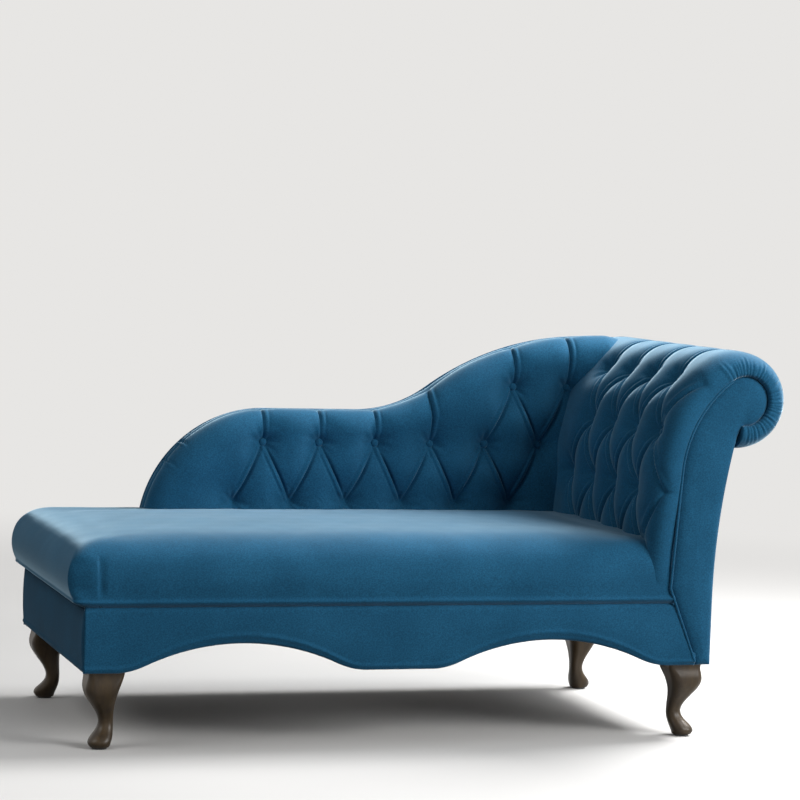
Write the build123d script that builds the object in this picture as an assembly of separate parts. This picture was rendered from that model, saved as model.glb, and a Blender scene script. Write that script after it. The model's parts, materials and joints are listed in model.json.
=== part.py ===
from build123d import *
from math import atan, cos, hypot, pi, radians, sin, sqrt, tan
import os

# Tufted chaise longue with one scrolled head end, in millimetres.
# +X points to the head end, -Y to the front, +Z up. The origin is on the floor,
# below the middle of the whole outline.

# Base
BASE_LENGTH = 1396.0
DEPTH = 720.0
LEG_HEIGHT = 162.0
SEAM_HEIGHT = 298.0
SEAT_HEIGHT = 440.0
CLEARANCE = 0.3

# Wooden base frame
RAIL_THICKNESS = 25.0
RAIL_LIFT = 6.0
DROP_TIP = 8.0
CROSS_RAIL_HEIGHT = 48.0
CROSS_RAIL_SPACING = 470.0
CORNER_BLOCK = 90.0
CORNER_BLOCK_HEIGHT = 50.0

# Padded covers of the base
FACING_THICKNESS = 12.0
APRON_LIP = 2.0
OUTER_BACK_THICKNESS = 12.0
OUTER_END_THICKNESS = 10.0
SCALLOP_WIDTH = 490.0
SCALLOP_RISE = 59.0
SCALLOP_GAP = 196.0
APRON_EDGE_ROUNDING = 4.0

# Seat
NOSE_SHARE = 0.5915
NOSE_INSET = 50.0
SEAT_FRONT_SHARE = 0.62
SEAT_REAR_ROUNDING = 50.0
SEAT_CROWN = 8.0
SEAT_COVER = 5.0
STRAP_WIDTH = 60.0
STRAP_THICKNESS = 2.5
STRAPS_ACROSS = 8
STRAPS_ALONG = 3
STRAP_ALONG_SPACING = 170.0

# Back
BACK_INSET = 256.0
BACK_SHOULDER_RADIUS = 294.0
BACK_LOW_HEIGHT = 666.0
BACK_RISE_START = 770.0
BACK_RISE_END = 56.0
BACK_RISE_RADIUS = 300.0
BACK_BOARD = 18.0
BACK_PAD = 62.0
BACK_EDGE_ROUNDING = 34.0
BACK_BOARD_INSET = 12.0

# Scrolled head end
ROLL_RADIUS = 107.0
ROLL_OUT = 57.0
ROLL_HEIGHT = 743.0
HEAD_FACE_IN = 158.0
HEAD_LEAN = 4.0
HEAD_BEND_HEIGHT = 590.0
HEAD_PAD = 52.0
HEAD_EDGE_ROUNDING = 26.0
HEAD_BOARD = 18.0
HEAD_LINING = 5.0
NECK_OUT = 45.0
NECK_DROP = 71.0
NECK_ANGLE = -80.0
FACING_TOE = 36.0
FACING_KNEE_HEIGHT = 332.0
PIPING_WIDTH = 5.0
PIPING_DEPTH = 6.0
BATTEN_WIDTH = 44.0
BATTEN_THICKNESS = 22.0
BATTEN_FACE_SHARES = (0.3, 0.75)
BATTEN_ARC_SHARE = 0.45

# Tufts: buttons on a diamond lattice
TUFT_PITCH = 135.0
TUFT_ROW = 137.0
TUFT_CREST = 28.0
TUFT_PLEAT = 3.0
BACK_FIRST_ROW = 456.0
BACK_FIRST_BUTTON = 461.5
BACK_BUTTONS = 6
BACK_HIGH_BUTTONS = 2
BACK_CHANNELS = 3
HEAD_TUFT_PITCH = 132.0
HEAD_TUFT_ROW = 133.0
HEAD_FIRST_ROW = 112.0
HEAD_FIRST_BUTTON = 64.0
HEAD_ROWS = 3
HEAD_BUTTONS = 4
HEAD_VALLEY = 14.0
BUTTON_RADIUS = 11.0
BUTTON_THICKNESS = 7.0
BUTTON_ROUNDING = 4.2
BUTTON_WELL = 1.5

# Legs
LEG_INSET = 52.0
LEG_PLATE = 3.0
LEG_PLATE_SIDE = 70.0
GLIDE_THICKNESS = 4.0
GLIDE_RADIUS = 16.0
BOLT_RADIUS = 4.0
BOLT_IN_LEG = 40.0
BOLT_IN_BLOCK = 32.0
BOLT_NUT_RADIUS = 7.5
BOLT_NUT_HEIGHT = 6.5
LEG_FOOT_SIZE = 48.0
LEG_FOOT_KICK = 6.0
LEG_FOOT_ROUNDING = 0.45
# Share of the height, turn outwards, side and share of the side that is rounded, from the top down
LEG_STATIONS = (
    (1.00, 0.0, 78.0, 0.10),
    (0.84, 3.0, 74.0, 0.22),
    (0.56, 1.5, 50.0, 0.34),
    (0.24, -7.0, 33.0, 0.42),
    (0.07, LEG_FOOT_KICK, LEG_FOOT_SIZE, LEG_FOOT_ROUNDING),
    (0.00, LEG_FOOT_KICK, LEG_FOOT_SIZE - 2 * GLIDE_THICKNESS, LEG_FOOT_ROUNDING),
)

# Dust cover under the base
DUST_COVER_THICKNESS = 1.2
DUST_COVER_GAP = 5.0

# Cylinders that stand on their place
UPRIGHT = (Align.CENTER, Align.CENTER, Align.MIN)

# Levels and edges that follow from the sizes above
seat_thickness = SEAT_HEIGHT - SEAM_HEIGHT
nose_radius = NOSE_SHARE * seat_thickness
seat_front_rounding = SEAT_FRONT_SHARE * seat_thickness
foot_overhang = nose_radius - NOSE_INSET
head_overhang = ROLL_OUT + ROLL_RADIUS
total_length = foot_overhang + BASE_LENGTH + head_overhang
base_left = -total_length / 2 + foot_overhang
base_right = base_left + BASE_LENGTH
front = -DEPTH / 2
rear = DEPTH / 2
frame_left = base_left + FACING_THICKNESS
frame_right = base_right - OUTER_END_THICKNESS
frame_front = front + FACING_THICKNESS
frame_rear = rear - OUTER_BACK_THICKNESS
rail_bottom = LEG_HEIGHT + RAIL_LIFT
deck = SEAM_HEIGHT
rail_top = deck - 2 * STRAP_THICKNESS
back_left = base_left + BACK_INSET
board_front = frame_rear - BACK_BOARD
back_face = board_front - BACK_PAD
seat_crest = SEAT_HEIGHT + SEAT_CROWN
roll_x = base_right + ROLL_OUT
roll_top = ROLL_HEIGHT + ROLL_RADIUS
neck_height = ROLL_HEIGHT - NECK_DROP
lean = radians(HEAD_LEAN)
face_foot = base_right - HEAD_FACE_IN
scallop_radius = (SCALLOP_WIDTH**2 / 4 + SCALLOP_RISE**2) / (2 * SCALLOP_RISE)
scallop_step = (SCALLOP_WIDTH + SCALLOP_GAP) / 2
scallop_middle = (base_left + base_right - FACING_TOE) / 2
scallop_places = (scallop_middle - scallop_step, scallop_middle + scallop_step)


def along_y(profile, y_from, y_to):
    """Extrude a profile drawn in X and Z between two depths."""
    return extrude(Plane.XZ.offset(-y_to) * profile, y_to - y_from)


def along_x(profile, x_from, x_to):
    """Extrude a profile drawn in Y and Z between two lengths."""
    return extrude(Plane.YZ.offset(x_from) * profile, x_to - x_from)


def block(x_from, x_to, y_from, y_to, z_from, z_to):
    """Box between two corners."""
    size = (x_to - x_from, y_to - y_from, z_to - z_from)
    middle = ((x_from + x_to) / 2, (y_from + y_to) / 2, (z_from + z_to) / 2)
    return Pos(*middle) * Box(*size)


def polygon(*points):
    """Flat face through straight edges."""
    return make_face(Polyline(*points, close=True))


def bend_point(inset):
    """Place where the lean of the head face turns into its large arc."""
    x = face_foot + (HEAD_BEND_HEIGHT - deck) * tan(lean)
    return (x + inset * cos(lean), HEAD_BEND_HEIGHT - inset * sin(lean))


def large_arc():
    """Centre and radius of the arc that leads from the head face into the roll."""
    bend_x, bend_z = bend_point(0.0)
    dx = roll_x - bend_x
    dz = ROLL_HEIGHT - bend_z
    reach = dx * cos(lean) - dz * sin(lean)
    radius = (dx * dx + dz * dz - ROLL_RADIUS**2) / (2 * (reach - ROLL_RADIUS))
    return bend_x + radius * cos(lean), bend_z - radius * sin(lean), radius


arc_x, arc_z, arc_radius = large_arc()
arc_start = pi - lean
arc_end = pi - atan((ROLL_HEIGHT - arc_z) / (arc_x - roll_x))
flat_run = (HEAD_BEND_HEIGHT - deck) / cos(lean)
arc_run = arc_radius * (arc_start - arc_end)


def on_arc(angle, inset):
    """Point on the large arc, or on a line inside it."""
    radius = arc_radius - inset
    return (arc_x + radius * cos(angle), arc_z + radius * sin(angle))


def face_x(height, inset):
    """Place of the straight head face, or of a line behind it, at a height."""
    return face_foot + (height - deck) * tan(lean) + inset / cos(lean)


def on_head(run, inset=0.0):
    """Point and outward normal on the head face, by the length along it from the deck."""
    if run <= flat_run:
        x = face_foot + run * sin(lean) + inset * cos(lean)
        z = deck + run * cos(lean) - inset * sin(lean)
        return (x, z), (-cos(lean), sin(lean))
    angle = arc_start - (run - flat_run) / arc_radius
    return on_arc(angle, inset), (cos(angle), sin(angle))


def above(section, bottom):
    """Part of a side or front view above a height."""
    low = polygon((-total_length, 0), (total_length, 0), (total_length, bottom), (-total_length, bottom))
    return section - low


def end_edges(end_inset):
    """Edges of the outer end, from the neck under the roll down to the legs."""
    x_low = base_right - end_inset
    neck = (base_right + NECK_OUT - end_inset, neck_height)
    curve = TangentArc((x_low, SEAM_HEIGHT), neck, tangent=(0, 1))
    return neck, [curve, Line((x_low, SEAM_HEIGHT), (x_low, LEG_HEIGHT))]


def roll_disc(inset):
    """Round end of the roll."""
    return Pos(roll_x, ROLL_HEIGHT) * Circle(ROLL_RADIUS - inset)


def neck_edges(inset, neck):
    """Edges from the middle of the roll to its edge, and along the neck to the outer end."""
    radius = ROLL_RADIUS - inset
    turn = radians(NECK_ANGLE)
    touch = (roll_x + radius * cos(turn), ROLL_HEIGHT + radius * sin(turn))
    inside = hypot(neck[0] - roll_x, neck[1] - ROLL_HEIGHT) < radius
    middle = (roll_x, ROLL_HEIGHT)
    if inside:
        return [Line(middle, neck)]
    return [Line(middle, touch), TangentArc(touch, neck, tangent=(sin(turn), -cos(turn)))]


def head_section(inset, end_inset, bottom):
    """Side view of the head end, drawn in from its padded outline by two insets."""
    foot = (face_x(LEG_HEIGHT, inset), LEG_HEIGHT)
    bend = bend_point(inset)
    crest = on_arc(arc_end, inset)
    neck, end_curves = end_edges(end_inset)
    edges = [
        Line(foot, bend),
        ThreePointArc(bend, on_arc((arc_start + arc_end) / 2, inset), crest),
        Line(crest, (roll_x, ROLL_HEIGHT)),
    ]
    edges += neck_edges(inset, neck) + end_curves
    edges.append(Line((base_right - end_inset, LEG_HEIGHT), foot))
    return above(make_face(edges) + roll_disc(inset), bottom)


def back_section(end_inset, bottom):
    """Front view of the whole back, with the sweep of its top edge and the roll."""
    foot = (back_left, BACK_LOW_HEIGHT - BACK_SHOULDER_RADIUS)
    shoulder = (back_left + BACK_SHOULDER_RADIUS, BACK_LOW_HEIGHT)
    rise_from = (base_left + BACK_RISE_START, BACK_LOW_HEIGHT)
    rise_to = (base_right - BACK_RISE_END, roll_top)
    turn = 2 * atan((rise_to[1] - rise_from[1]) / (rise_to[0] - rise_from[0]))
    sway = (rise_from[0] + BACK_RISE_RADIUS * sin(turn),
            rise_from[1] + BACK_RISE_RADIUS * (1 - cos(turn)))
    neck, end_curves = end_edges(end_inset)
    edges = [
        Line((back_left, LEG_HEIGHT), foot),
        TangentArc(foot, shoulder, tangent=(0, 1)),
        Line(shoulder, rise_from),
        TangentArc(rise_from, sway, tangent=(1, 0)),
        TangentArc(sway, rise_to, tangent=(cos(turn), sin(turn))),
        Line(rise_to, (roll_x, roll_top)),
        Line((roll_x, roll_top), (roll_x, ROLL_HEIGHT)),
    ]
    edges += neck_edges(0.0, neck) + end_curves
    edges.append(Line((base_right - end_inset, LEG_HEIGHT), (back_left, LEG_HEIGHT)))
    return above(make_face(edges) + roll_disc(0.0), bottom)


def scallops(lift):
    """Two shallow arches of the front, as discs to take away below a level."""
    height = LEG_HEIGHT + lift + SCALLOP_RISE - scallop_radius
    return [Pos(x, height) * Circle(scallop_radius) for x in scallop_places]


def front_rail():
    """Straight front rail above the arches of the apron."""
    bottom = rail_bottom + SCALLOP_RISE + CLEARANCE
    return block(frame_left, frame_right, frame_front, frame_front + RAIL_THICKNESS, bottom, rail_top)


def front_rail_drops():
    """Shaped blocks below the front rail that carry the hem beside and between the arches."""
    top = rail_bottom + SCALLOP_RISE
    outline = polygon((frame_left, rail_bottom), (frame_right, rail_bottom),
                      (frame_right, top), (frame_left, top))
    reach = sqrt(scallop_radius**2 - (scallop_radius - DROP_TIP)**2)
    for arch in scallops(RAIL_LIFT):
        outline -= arch
    for x in scallop_places:
        outline -= Pos(x, top) * Rectangle(2 * reach, 2 * SCALLOP_RISE)
    return along_y(outline, frame_front, frame_front + RAIL_THICKNESS)


def rear_rail():
    return block(frame_left, frame_right, frame_rear - RAIL_THICKNESS, frame_rear, rail_bottom, rail_top)


def end_rail(x_from):
    """Rail between the front and rear rails, at one end."""
    return block(x_from, x_from + RAIL_THICKNESS, frame_front + RAIL_THICKNESS,
                 frame_rear - RAIL_THICKNESS, rail_bottom, rail_top)


def cross_rails():
    """Two rails that keep the long rails apart."""
    rails = []
    for side in (-0.5, 0.5):
        middle = side * CROSS_RAIL_SPACING + (base_left + face_foot) / 2
        rails.append(block(middle - RAIL_THICKNESS / 2, middle + RAIL_THICKNESS / 2,
                           frame_front + RAIL_THICKNESS, frame_rear - RAIL_THICKNESS,
                           rail_top - CROSS_RAIL_HEIGHT, rail_top))
    return Compound(children=rails)


def seat_end_rail():
    """Rail below the head face, where the lengthwise straps end."""
    middle = face_x(rail_top, HEAD_PAD + CLEARANCE)
    return block(middle - RAIL_THICKNESS, middle + RAIL_THICKNESS, frame_front + RAIL_THICKNESS,
                 frame_rear - RAIL_THICKNESS, rail_top - CROSS_RAIL_HEIGHT, rail_top)


def corners():
    """Directions from the middle to the four corners."""
    return [(side, depth) for side in (-1, 1) for depth in (-1, 1)]


def leg_place(side, depth):
    """Middle of a leg's top."""
    x = base_left + LEG_INSET if side < 0 else base_right - LEG_INSET
    y = front + LEG_INSET if depth < 0 else rear - LEG_INSET
    return x, y


def corner_blocks():
    """Glued triangular blocks in the corners of the frame, bored for the leg bolts."""
    blocks = []
    for side, depth in corners():
        x = frame_left + RAIL_THICKNESS if side < 0 else frame_right - RAIL_THICKNESS
        y = frame_front + RAIL_THICKNESS if depth < 0 else frame_rear - RAIL_THICKNESS
        outline = polygon((x, y), (x - side * CORNER_BLOCK, y), (x, y - depth * CORNER_BLOCK))
        body = extrude(Plane.XY.offset(rail_bottom) * outline, CORNER_BLOCK_HEIGHT, dir=(0, 0, 1))
        leg_x, leg_y = leg_place(side, depth)
        bore = Cylinder(BOLT_RADIUS + CLEARANCE, 2 * CORNER_BLOCK_HEIGHT)
        recess = Cylinder(BOLT_NUT_RADIUS + CLEARANCE, CORNER_BLOCK_HEIGHT, align=UPRIGHT)
        recess = Pos(0, 0, BOLT_IN_BLOCK) * recess
        blocks.append(body - Pos(leg_x, leg_y, rail_bottom) * (bore + recess))
    return Compound(children=blocks)


def leg(side, depth):
    """Cabriole leg whose knee and toe turn out on the diagonal."""
    x, y = leg_place(side, depth)
    top = rail_bottom - LEG_PLATE
    height = top - GLIDE_THICKNESS
    sections = []
    for share, kick, size, rounding in LEG_STATIONS:
        place = Pos(x + side * kick, y + depth * kick, GLIDE_THICKNESS + share * height)
        sections.append(place * RectangleRounded(size, size, rounding * size))
    bore = Pos(x, y, top - BOLT_IN_LEG / 2) * Cylinder(BOLT_RADIUS + CLEARANCE, BOLT_IN_LEG)
    return loft(sections) - bore


def leg_plates():
    """Steel plates between the legs and the frame."""
    plates = []
    for side, depth in corners():
        x, y = leg_place(side, depth)
        outline = RectangleRounded(LEG_PLATE_SIDE, LEG_PLATE_SIDE, LEG_PLATE_SIDE / 8)
        outline -= Circle(BOLT_RADIUS + CLEARANCE)
        plates.append(extrude(Pos(x, y, rail_bottom - LEG_PLATE) * outline, LEG_PLATE))
    return Compound(children=plates)


def leg_bolts():
    """Bolts from each leg through its plate and corner block, with their nuts."""
    bolts = []
    length = BOLT_IN_LEG + LEG_PLATE + BOLT_IN_BLOCK + BOLT_NUT_HEIGHT
    hexagon = RegularPolygon(BOLT_NUT_RADIUS, 6)
    nut = Pos(0, 0, length - BOLT_NUT_HEIGHT) * extrude(hexagon, BOLT_NUT_HEIGHT)
    for side, depth in corners():
        x, y = leg_place(side, depth)
        place = Pos(x, y, rail_bottom - LEG_PLATE - BOLT_IN_LEG)
        bolts.append(place * (Cylinder(BOLT_RADIUS, length, align=UPRIGHT) + nut))
    return Compound(children=bolts)


def leg_glides():
    """Round glides under the feet."""
    glides = []
    for side, depth in corners():
        x, y = leg_place(side, depth)
        place = Pos(x + side * LEG_FOOT_KICK, y + depth * LEG_FOOT_KICK, GLIDE_THICKNESS / 2)
        glides.append(place * Cylinder(GLIDE_RADIUS, GLIDE_THICKNESS))
    return Compound(children=glides)


def dust_cover():
    """Thin cloth over the open underside, above the arches."""
    bottom = rail_bottom + SCALLOP_RISE + DUST_COVER_GAP
    gap = RAIL_THICKNESS + CLEARANCE
    return block(frame_left + gap, frame_right - gap, frame_front + gap, frame_rear - gap,
                 bottom, bottom + DUST_COVER_THICKNESS)


def facing_edge(height, gap):
    """Front edge of the scroll facing below its knee, at a height."""
    knee = face_x(FACING_KNEE_HEIGHT, HEAD_PAD)
    toe = base_right - FACING_TOE
    share = (height - LEG_HEIGHT) / (FACING_KNEE_HEIGHT - LEG_HEIGHT)
    return toe + share * (knee - toe) - gap


def front_apron():
    """Padded front of the base, with two arches and a slanted end at the facing."""
    top = SEAM_HEIGHT - CLEARANCE
    face_y = front + APRON_LIP
    outline = polygon((base_left, LEG_HEIGHT), (facing_edge(LEG_HEIGHT, CLEARANCE), LEG_HEIGHT),
                      (facing_edge(top, CLEARANCE), top), (base_left, top))
    for arch in scallops(0.0):
        outline -= arch
    body = along_y(outline, face_y, frame_front)
    x_from = base_left + APRON_EDGE_ROUNDING
    x_to = base_right - FACING_TOE - 2 * APRON_EDGE_ROUNDING
    hem = []
    for edge in body.edges():
        middle = edge.center()
        at_face = abs(middle.Y - face_y) < CLEARANCE
        if at_face and middle.Z < top - 2 * APRON_EDGE_ROUNDING and x_from < middle.X < x_to:
            hem.append(edge)
    return fillet(hem, APRON_EDGE_ROUNDING)


def foot_apron():
    """Padded foot end of the base."""
    return block(base_left, frame_left, frame_front, frame_rear, LEG_HEIGHT, SEAM_HEIGHT - CLEARANCE)


def seat_end(height, inset):
    """Head end of the seat at a height, against the valley of the head pad."""
    return face_x(height, HEAD_VALLEY - CLEARANCE) - inset


def seat_body(inset, bottom):
    """Form of the seat, drawn in by an inset: waterfall front, crown and bull-nosed foot end."""
    top = SEAT_HEIGHT - inset
    front_y = front + inset
    rear_y = rear - inset
    front_bend = seat_front_rounding - inset
    rear_bend = SEAT_REAR_ROUNDING - inset
    crest_from = front_y + front_bend
    crest_to = rear_y - rear_bend
    across = make_face([
        Line((front_y, bottom), (front_y, top - front_bend)),
        RadiusArc((front_y, top - front_bend), (crest_from, top), front_bend),
        ThreePointArc((crest_from, top), ((crest_from + crest_to) / 2, top + SEAT_CROWN), (crest_to, top)),
        RadiusArc((crest_to, top), (rear_y, top - rear_bend), rear_bend),
        Line((rear_y, top - rear_bend), (rear_y, bottom)),
        Line((rear_y, bottom), (front_y, bottom)),
    ])
    radius = nose_radius - inset
    nose_x = base_left + NOSE_INSET
    nose_z = SEAT_HEIGHT - nose_radius
    nose_foot = nose_x - sqrt(radius**2 - (nose_z - bottom)**2)
    head_top = seat_end(top, inset)
    head_foot = seat_end(bottom, inset)
    along = make_face([
        ThreePointArc((nose_foot, bottom), (nose_x - radius, nose_z), (nose_x, top)),
        ThreePointArc((nose_x, top), ((nose_x + head_top) / 2, top + 2 * SEAT_CROWN), (head_top, top)),
        Line((head_top, top), (head_foot, bottom)),
        Line((head_foot, bottom), (nose_foot, bottom)),
    ])
    body = along_x(across, nose_x - nose_radius, head_top) & along_y(along, front, rear)
    back_space = block(back_left - CLEARANCE - inset, base_right, back_face - CLEARANCE - inset, rear,
                       0, 2 * SEAT_HEIGHT)
    return body - back_space


def seat_cover():
    """Cover over the seat foam, open below, with a tongue that meets the scroll facing."""
    shell = seat_body(0.0, SEAM_HEIGHT) - seat_body(SEAT_COVER, SEAM_HEIGHT - SEAT_COVER)
    knee = FACING_KNEE_HEIGHT
    top = knee + seat_front_rounding / 2
    root = SEAT_COVER / 2
    tongue = polygon((seat_end(SEAM_HEIGHT, root), SEAM_HEIGHT),
                     (facing_edge(SEAM_HEIGHT, CLEARANCE), SEAM_HEIGHT),
                     (facing_edge(knee, CLEARANCE), knee), (seat_end(top, root), top))
    return shell + along_y(tongue, front, frame_front)


def seat_foam():
    """Foam block of the seat, on the straps."""
    return seat_body(SEAT_COVER + CLEARANCE, deck)


def straps_across():
    """Elastic straps from the front rail to the rear rail."""
    straps = []
    run = face_foot - frame_left
    step = run / STRAPS_ACROSS
    for index in range(STRAPS_ACROSS):
        middle = frame_left + (index + 0.5) * step
        straps.append(block(middle - STRAP_WIDTH / 2, middle + STRAP_WIDTH / 2, frame_front,
                            board_front - CLEARANCE, rail_top, rail_top + STRAP_THICKNESS))
    return Compound(children=straps)


def straps_along():
    """Elastic straps from the foot rail to the rail below the head face."""
    straps = []
    bottom = rail_top + STRAP_THICKNESS
    end = face_x(rail_top, HEAD_PAD)
    for index in range(STRAPS_ALONG):
        middle = (index - (STRAPS_ALONG - 1) / 2) * STRAP_ALONG_SPACING
        straps.append(block(frame_left, end, middle - STRAP_WIDTH / 2, middle + STRAP_WIDTH / 2,
                            bottom, bottom + STRAP_THICKNESS))
    return Compound(children=straps)


def barrel(half_width, half_length, crest, drop):
    """Pillow between four buttons: a barrel that falls to the valley at all four."""
    across = (half_width**2 + crest**2) / (2 * crest)
    along = (half_length**2 + drop**2) / (2 * drop)
    end = half_length + TUFT_PLEAT
    end_radius = across - along + sqrt(along**2 - end**2)
    half = make_face([
        Line((0, -end), (end_radius, -end)),
        ThreePointArc((end_radius, -end), (across, 0), (end_radius, end)),
        Line((end_radius, end), (0, end)),
        Line((0, end), (0, -end)),
    ])
    return Pos(0, 0, crest - across) * revolve(half, Axis.Y)


def pillow(half_width, half_length, crest, drop, straight=0.0):
    """Barrel trimmed to its diamond, which may run on straight at its upper half."""
    side = half_width - TUFT_PLEAT / 2
    tip = half_length - TUFT_PLEAT
    right = [(side, -straight), (side, straight)] if straight else [(side, 0)]
    left = [(-x, -z) for x, z in right]
    outline = [(0, -tip)] + right + [(0, tip)] + left
    prism = Pos(0, 0, -crest) * extrude(polygon(*outline), 3 * crest)
    return barrel(half_width, half_length, crest, drop) & prism


def back_button_places():
    """Button places on the back: X and Z, in three rows, each offset by half a pitch."""
    start = base_left + BACK_FIRST_BUTTON
    last = start + (BACK_BUTTONS - 1) * TUFT_PITCH
    places = []
    for i in range(BACK_BUTTONS):
        places.append((start + i * TUFT_PITCH, BACK_FIRST_ROW))
        places.append((start + (i + 0.5) * TUFT_PITCH, BACK_FIRST_ROW + TUFT_ROW))
    for i in range(BACK_HIGH_BUTTONS):
        places.append((last + i * TUFT_PITCH, BACK_FIRST_ROW + 2 * TUFT_ROW))
    return places


def back_plane(x, z):
    """Tangent plane of the back's valley, with its normal to the front."""
    return Plane(origin=(x, back_face, z), x_dir=(1, 0, 0), z_dir=(0, -1, 0))


def back_pillows():
    """Pillows of the back: low half diamonds, upright channels and full diamonds."""
    start = base_left + BACK_FIRST_BUTTON
    last = start + (BACK_BUTTONS - 1) * TUFT_PITCH
    half = TUFT_PITCH / 2
    second = BACK_FIRST_ROW + TUFT_ROW
    diamond = pillow(half, TUFT_ROW, TUFT_CREST, TUFT_CREST)
    middles = [(start + half + i * TUFT_PITCH, BACK_FIRST_ROW) for i in range(BACK_BUTTONS)]
    middles += [(last + i * TUFT_PITCH, second) for i in range(BACK_HIGH_BUTTONS)]
    pieces = [back_plane(x, z) * diamond for x, z in middles]
    spans = [(start + (i + 1) * TUFT_PITCH, BACK_FIRST_ROW, BACK_LOW_HEIGHT) for i in range(BACK_CHANNELS)]
    spans.append((last - TUFT_PITCH, BACK_FIRST_ROW, BACK_LOW_HEIGHT + TUFT_CREST))
    spans.append((last + half, second, roll_top))
    for x, bottom, top in spans:
        reach = (top - bottom) / 2
        channel = pillow(half, reach, TUFT_CREST, TUFT_CREST, reach / 3)
        pieces.append(back_plane(x, bottom + reach) * channel)
    return pieces


def back_pad():
    """Padded back with sewn tufts, and wells for its buttons."""
    outline = back_section(OUTER_END_THICKNESS + CLEARANCE, deck)
    split = base_right - BACK_RISE_END
    behind_head = block(split, base_right + head_overhang, front, rear, 0, roll_top)
    slab = along_y(outline, back_face, board_front)
    shown = slab - behind_head
    rim = [edge for edge in shown.edges() if abs(edge.center().Y - back_face) < CLEARANCE
           and edge.center().Z > deck + CLEARANCE and edge.center().X < split - CLEARANCE]
    slab = fillet(rim, BACK_EDGE_ROUNDING) + (slab & behind_head)
    reach = TUFT_CREST + CLEARANCE
    window = along_y(outline, back_face - reach, board_front)
    head = head_section(-HEAD_VALLEY - CLEARANCE, -OUTER_END_THICKNESS, deck)
    window -= along_y(head, back_face - reach, back_face)
    window -= block(base_left, base_right, front, back_face, 0, seat_crest + CLEARANCE)
    pad = slab
    for piece in back_pillows():
        pad += piece & window
    for x, z in back_button_places():
        pad -= back_plane(x, z) * button_well()
    return pad


def button_well():
    """Space round a button."""
    return Cylinder(BUTTON_RADIUS + BUTTON_WELL, 3 * TUFT_CREST, align=UPRIGHT)


def button():
    """Covered button with a domed front."""
    body = Cylinder(BUTTON_RADIUS, BUTTON_THICKNESS, align=UPRIGHT)
    return fillet(body.edges().group_by(Axis.Z)[-1], BUTTON_ROUNDING)


def back_buttons():
    """Buttons of the back above the seat, at the bottoms of their wells."""
    clear = seat_crest + BUTTON_RADIUS
    return Compound(children=[back_plane(x, z) * button() for x, z in back_button_places() if z > clear])


def head_button_places():
    """Button places on the head: depth and run along the face, each row offset by half a pitch."""
    places = []
    for row in range(1, HEAD_ROWS + 1):
        offset = 0.5 if row % 2 else 0.0
        for index in range(HEAD_BUTTONS):
            y = frame_front + HEAD_FIRST_BUTTON + (index + offset) * HEAD_TUFT_PITCH
            places.append((y, HEAD_FIRST_ROW + row * HEAD_TUFT_ROW))
    return places


def head_plane(y, run):
    """Tangent plane of the head's valley, with its normal out of the pad."""
    (x, z), (normal_x, normal_z) = on_head(run, HEAD_VALLEY)
    return Plane(origin=(x, y, z), x_dir=(0, -1, 0), z_dir=(normal_x, 0, normal_z))


def head_pillows():
    """Pillows of the head, on its straight face and round its large arc."""
    half = HEAD_TUFT_PITCH / 2
    pieces = []
    for row in range(1, HEAD_ROWS + 1):
        run = HEAD_FIRST_ROW + row * HEAD_TUFT_ROW
        offset = 0.0 if row % 2 else 0.5
        for index in range(-1, HEAD_BUTTONS + 1):
            y = frame_front + HEAD_FIRST_BUTTON + (index + offset) * HEAD_TUFT_PITCH
            flat_part = min(max(flat_run - run + HEAD_TUFT_ROW, 0.0), 2 * HEAD_TUFT_ROW)
            bent = 1.0 - flat_part / (2 * HEAD_TUFT_ROW)
            drop = TUFT_CREST + bent * arc_radius * (1 - cos(HEAD_TUFT_ROW / arc_radius))
            pieces.append(head_plane(y, run) * pillow(half, HEAD_TUFT_ROW, TUFT_CREST, drop))
    return pieces


def roll_channels():
    """Soft ribs round the roll, between the pleats that run over it."""
    valley = ROLL_RADIUS - HEAD_VALLEY
    half = HEAD_TUFT_PITCH / 2 - TUFT_PLEAT / 2
    ribs = []
    for index in range(-1, HEAD_BUTTONS + 1):
        y = frame_front + HEAD_FIRST_BUTTON + index * HEAD_TUFT_PITCH
        rib = make_face([
            Line((y - half, valley - HEAD_VALLEY), (y - half, valley)),
            ThreePointArc((y - half, valley), (y, ROLL_RADIUS), (y + half, valley)),
            Line((y + half, valley), (y + half, valley - HEAD_VALLEY)),
            Line((y + half, valley - HEAD_VALLEY), (y - half, valley - HEAD_VALLEY)),
        ])
        ribs.append(Pos(roll_x, 0, ROLL_HEIGHT) * revolve(Plane.YZ * rib, Axis.Y))
    return ribs


def head_collar():
    """Rounded border of the head pad along its front, round the scroll facing."""
    y_from = frame_front
    y_to = frame_front + 2 * HEAD_EDGE_ROUNDING
    body = along_y(head_section(0.0, 0.0, deck), y_from, y_to)
    rim = [edge for edge in body.edges() if abs(edge.center().Y - y_from) < CLEARANCE
           and edge.center().Z > deck + CLEARANCE
           and (edge.center().X < base_right - CLEARANCE or edge.center().Z > neck_height)]
    inner = along_y(head_section(HEAD_PAD, -CLEARANCE, deck), y_from, y_to)
    collar = fillet(rim, HEAD_EDGE_ROUNDING) - inner
    return collar - block(base_left, roll_x, front, rear, 0, seat_crest + CLEARANCE)


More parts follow.
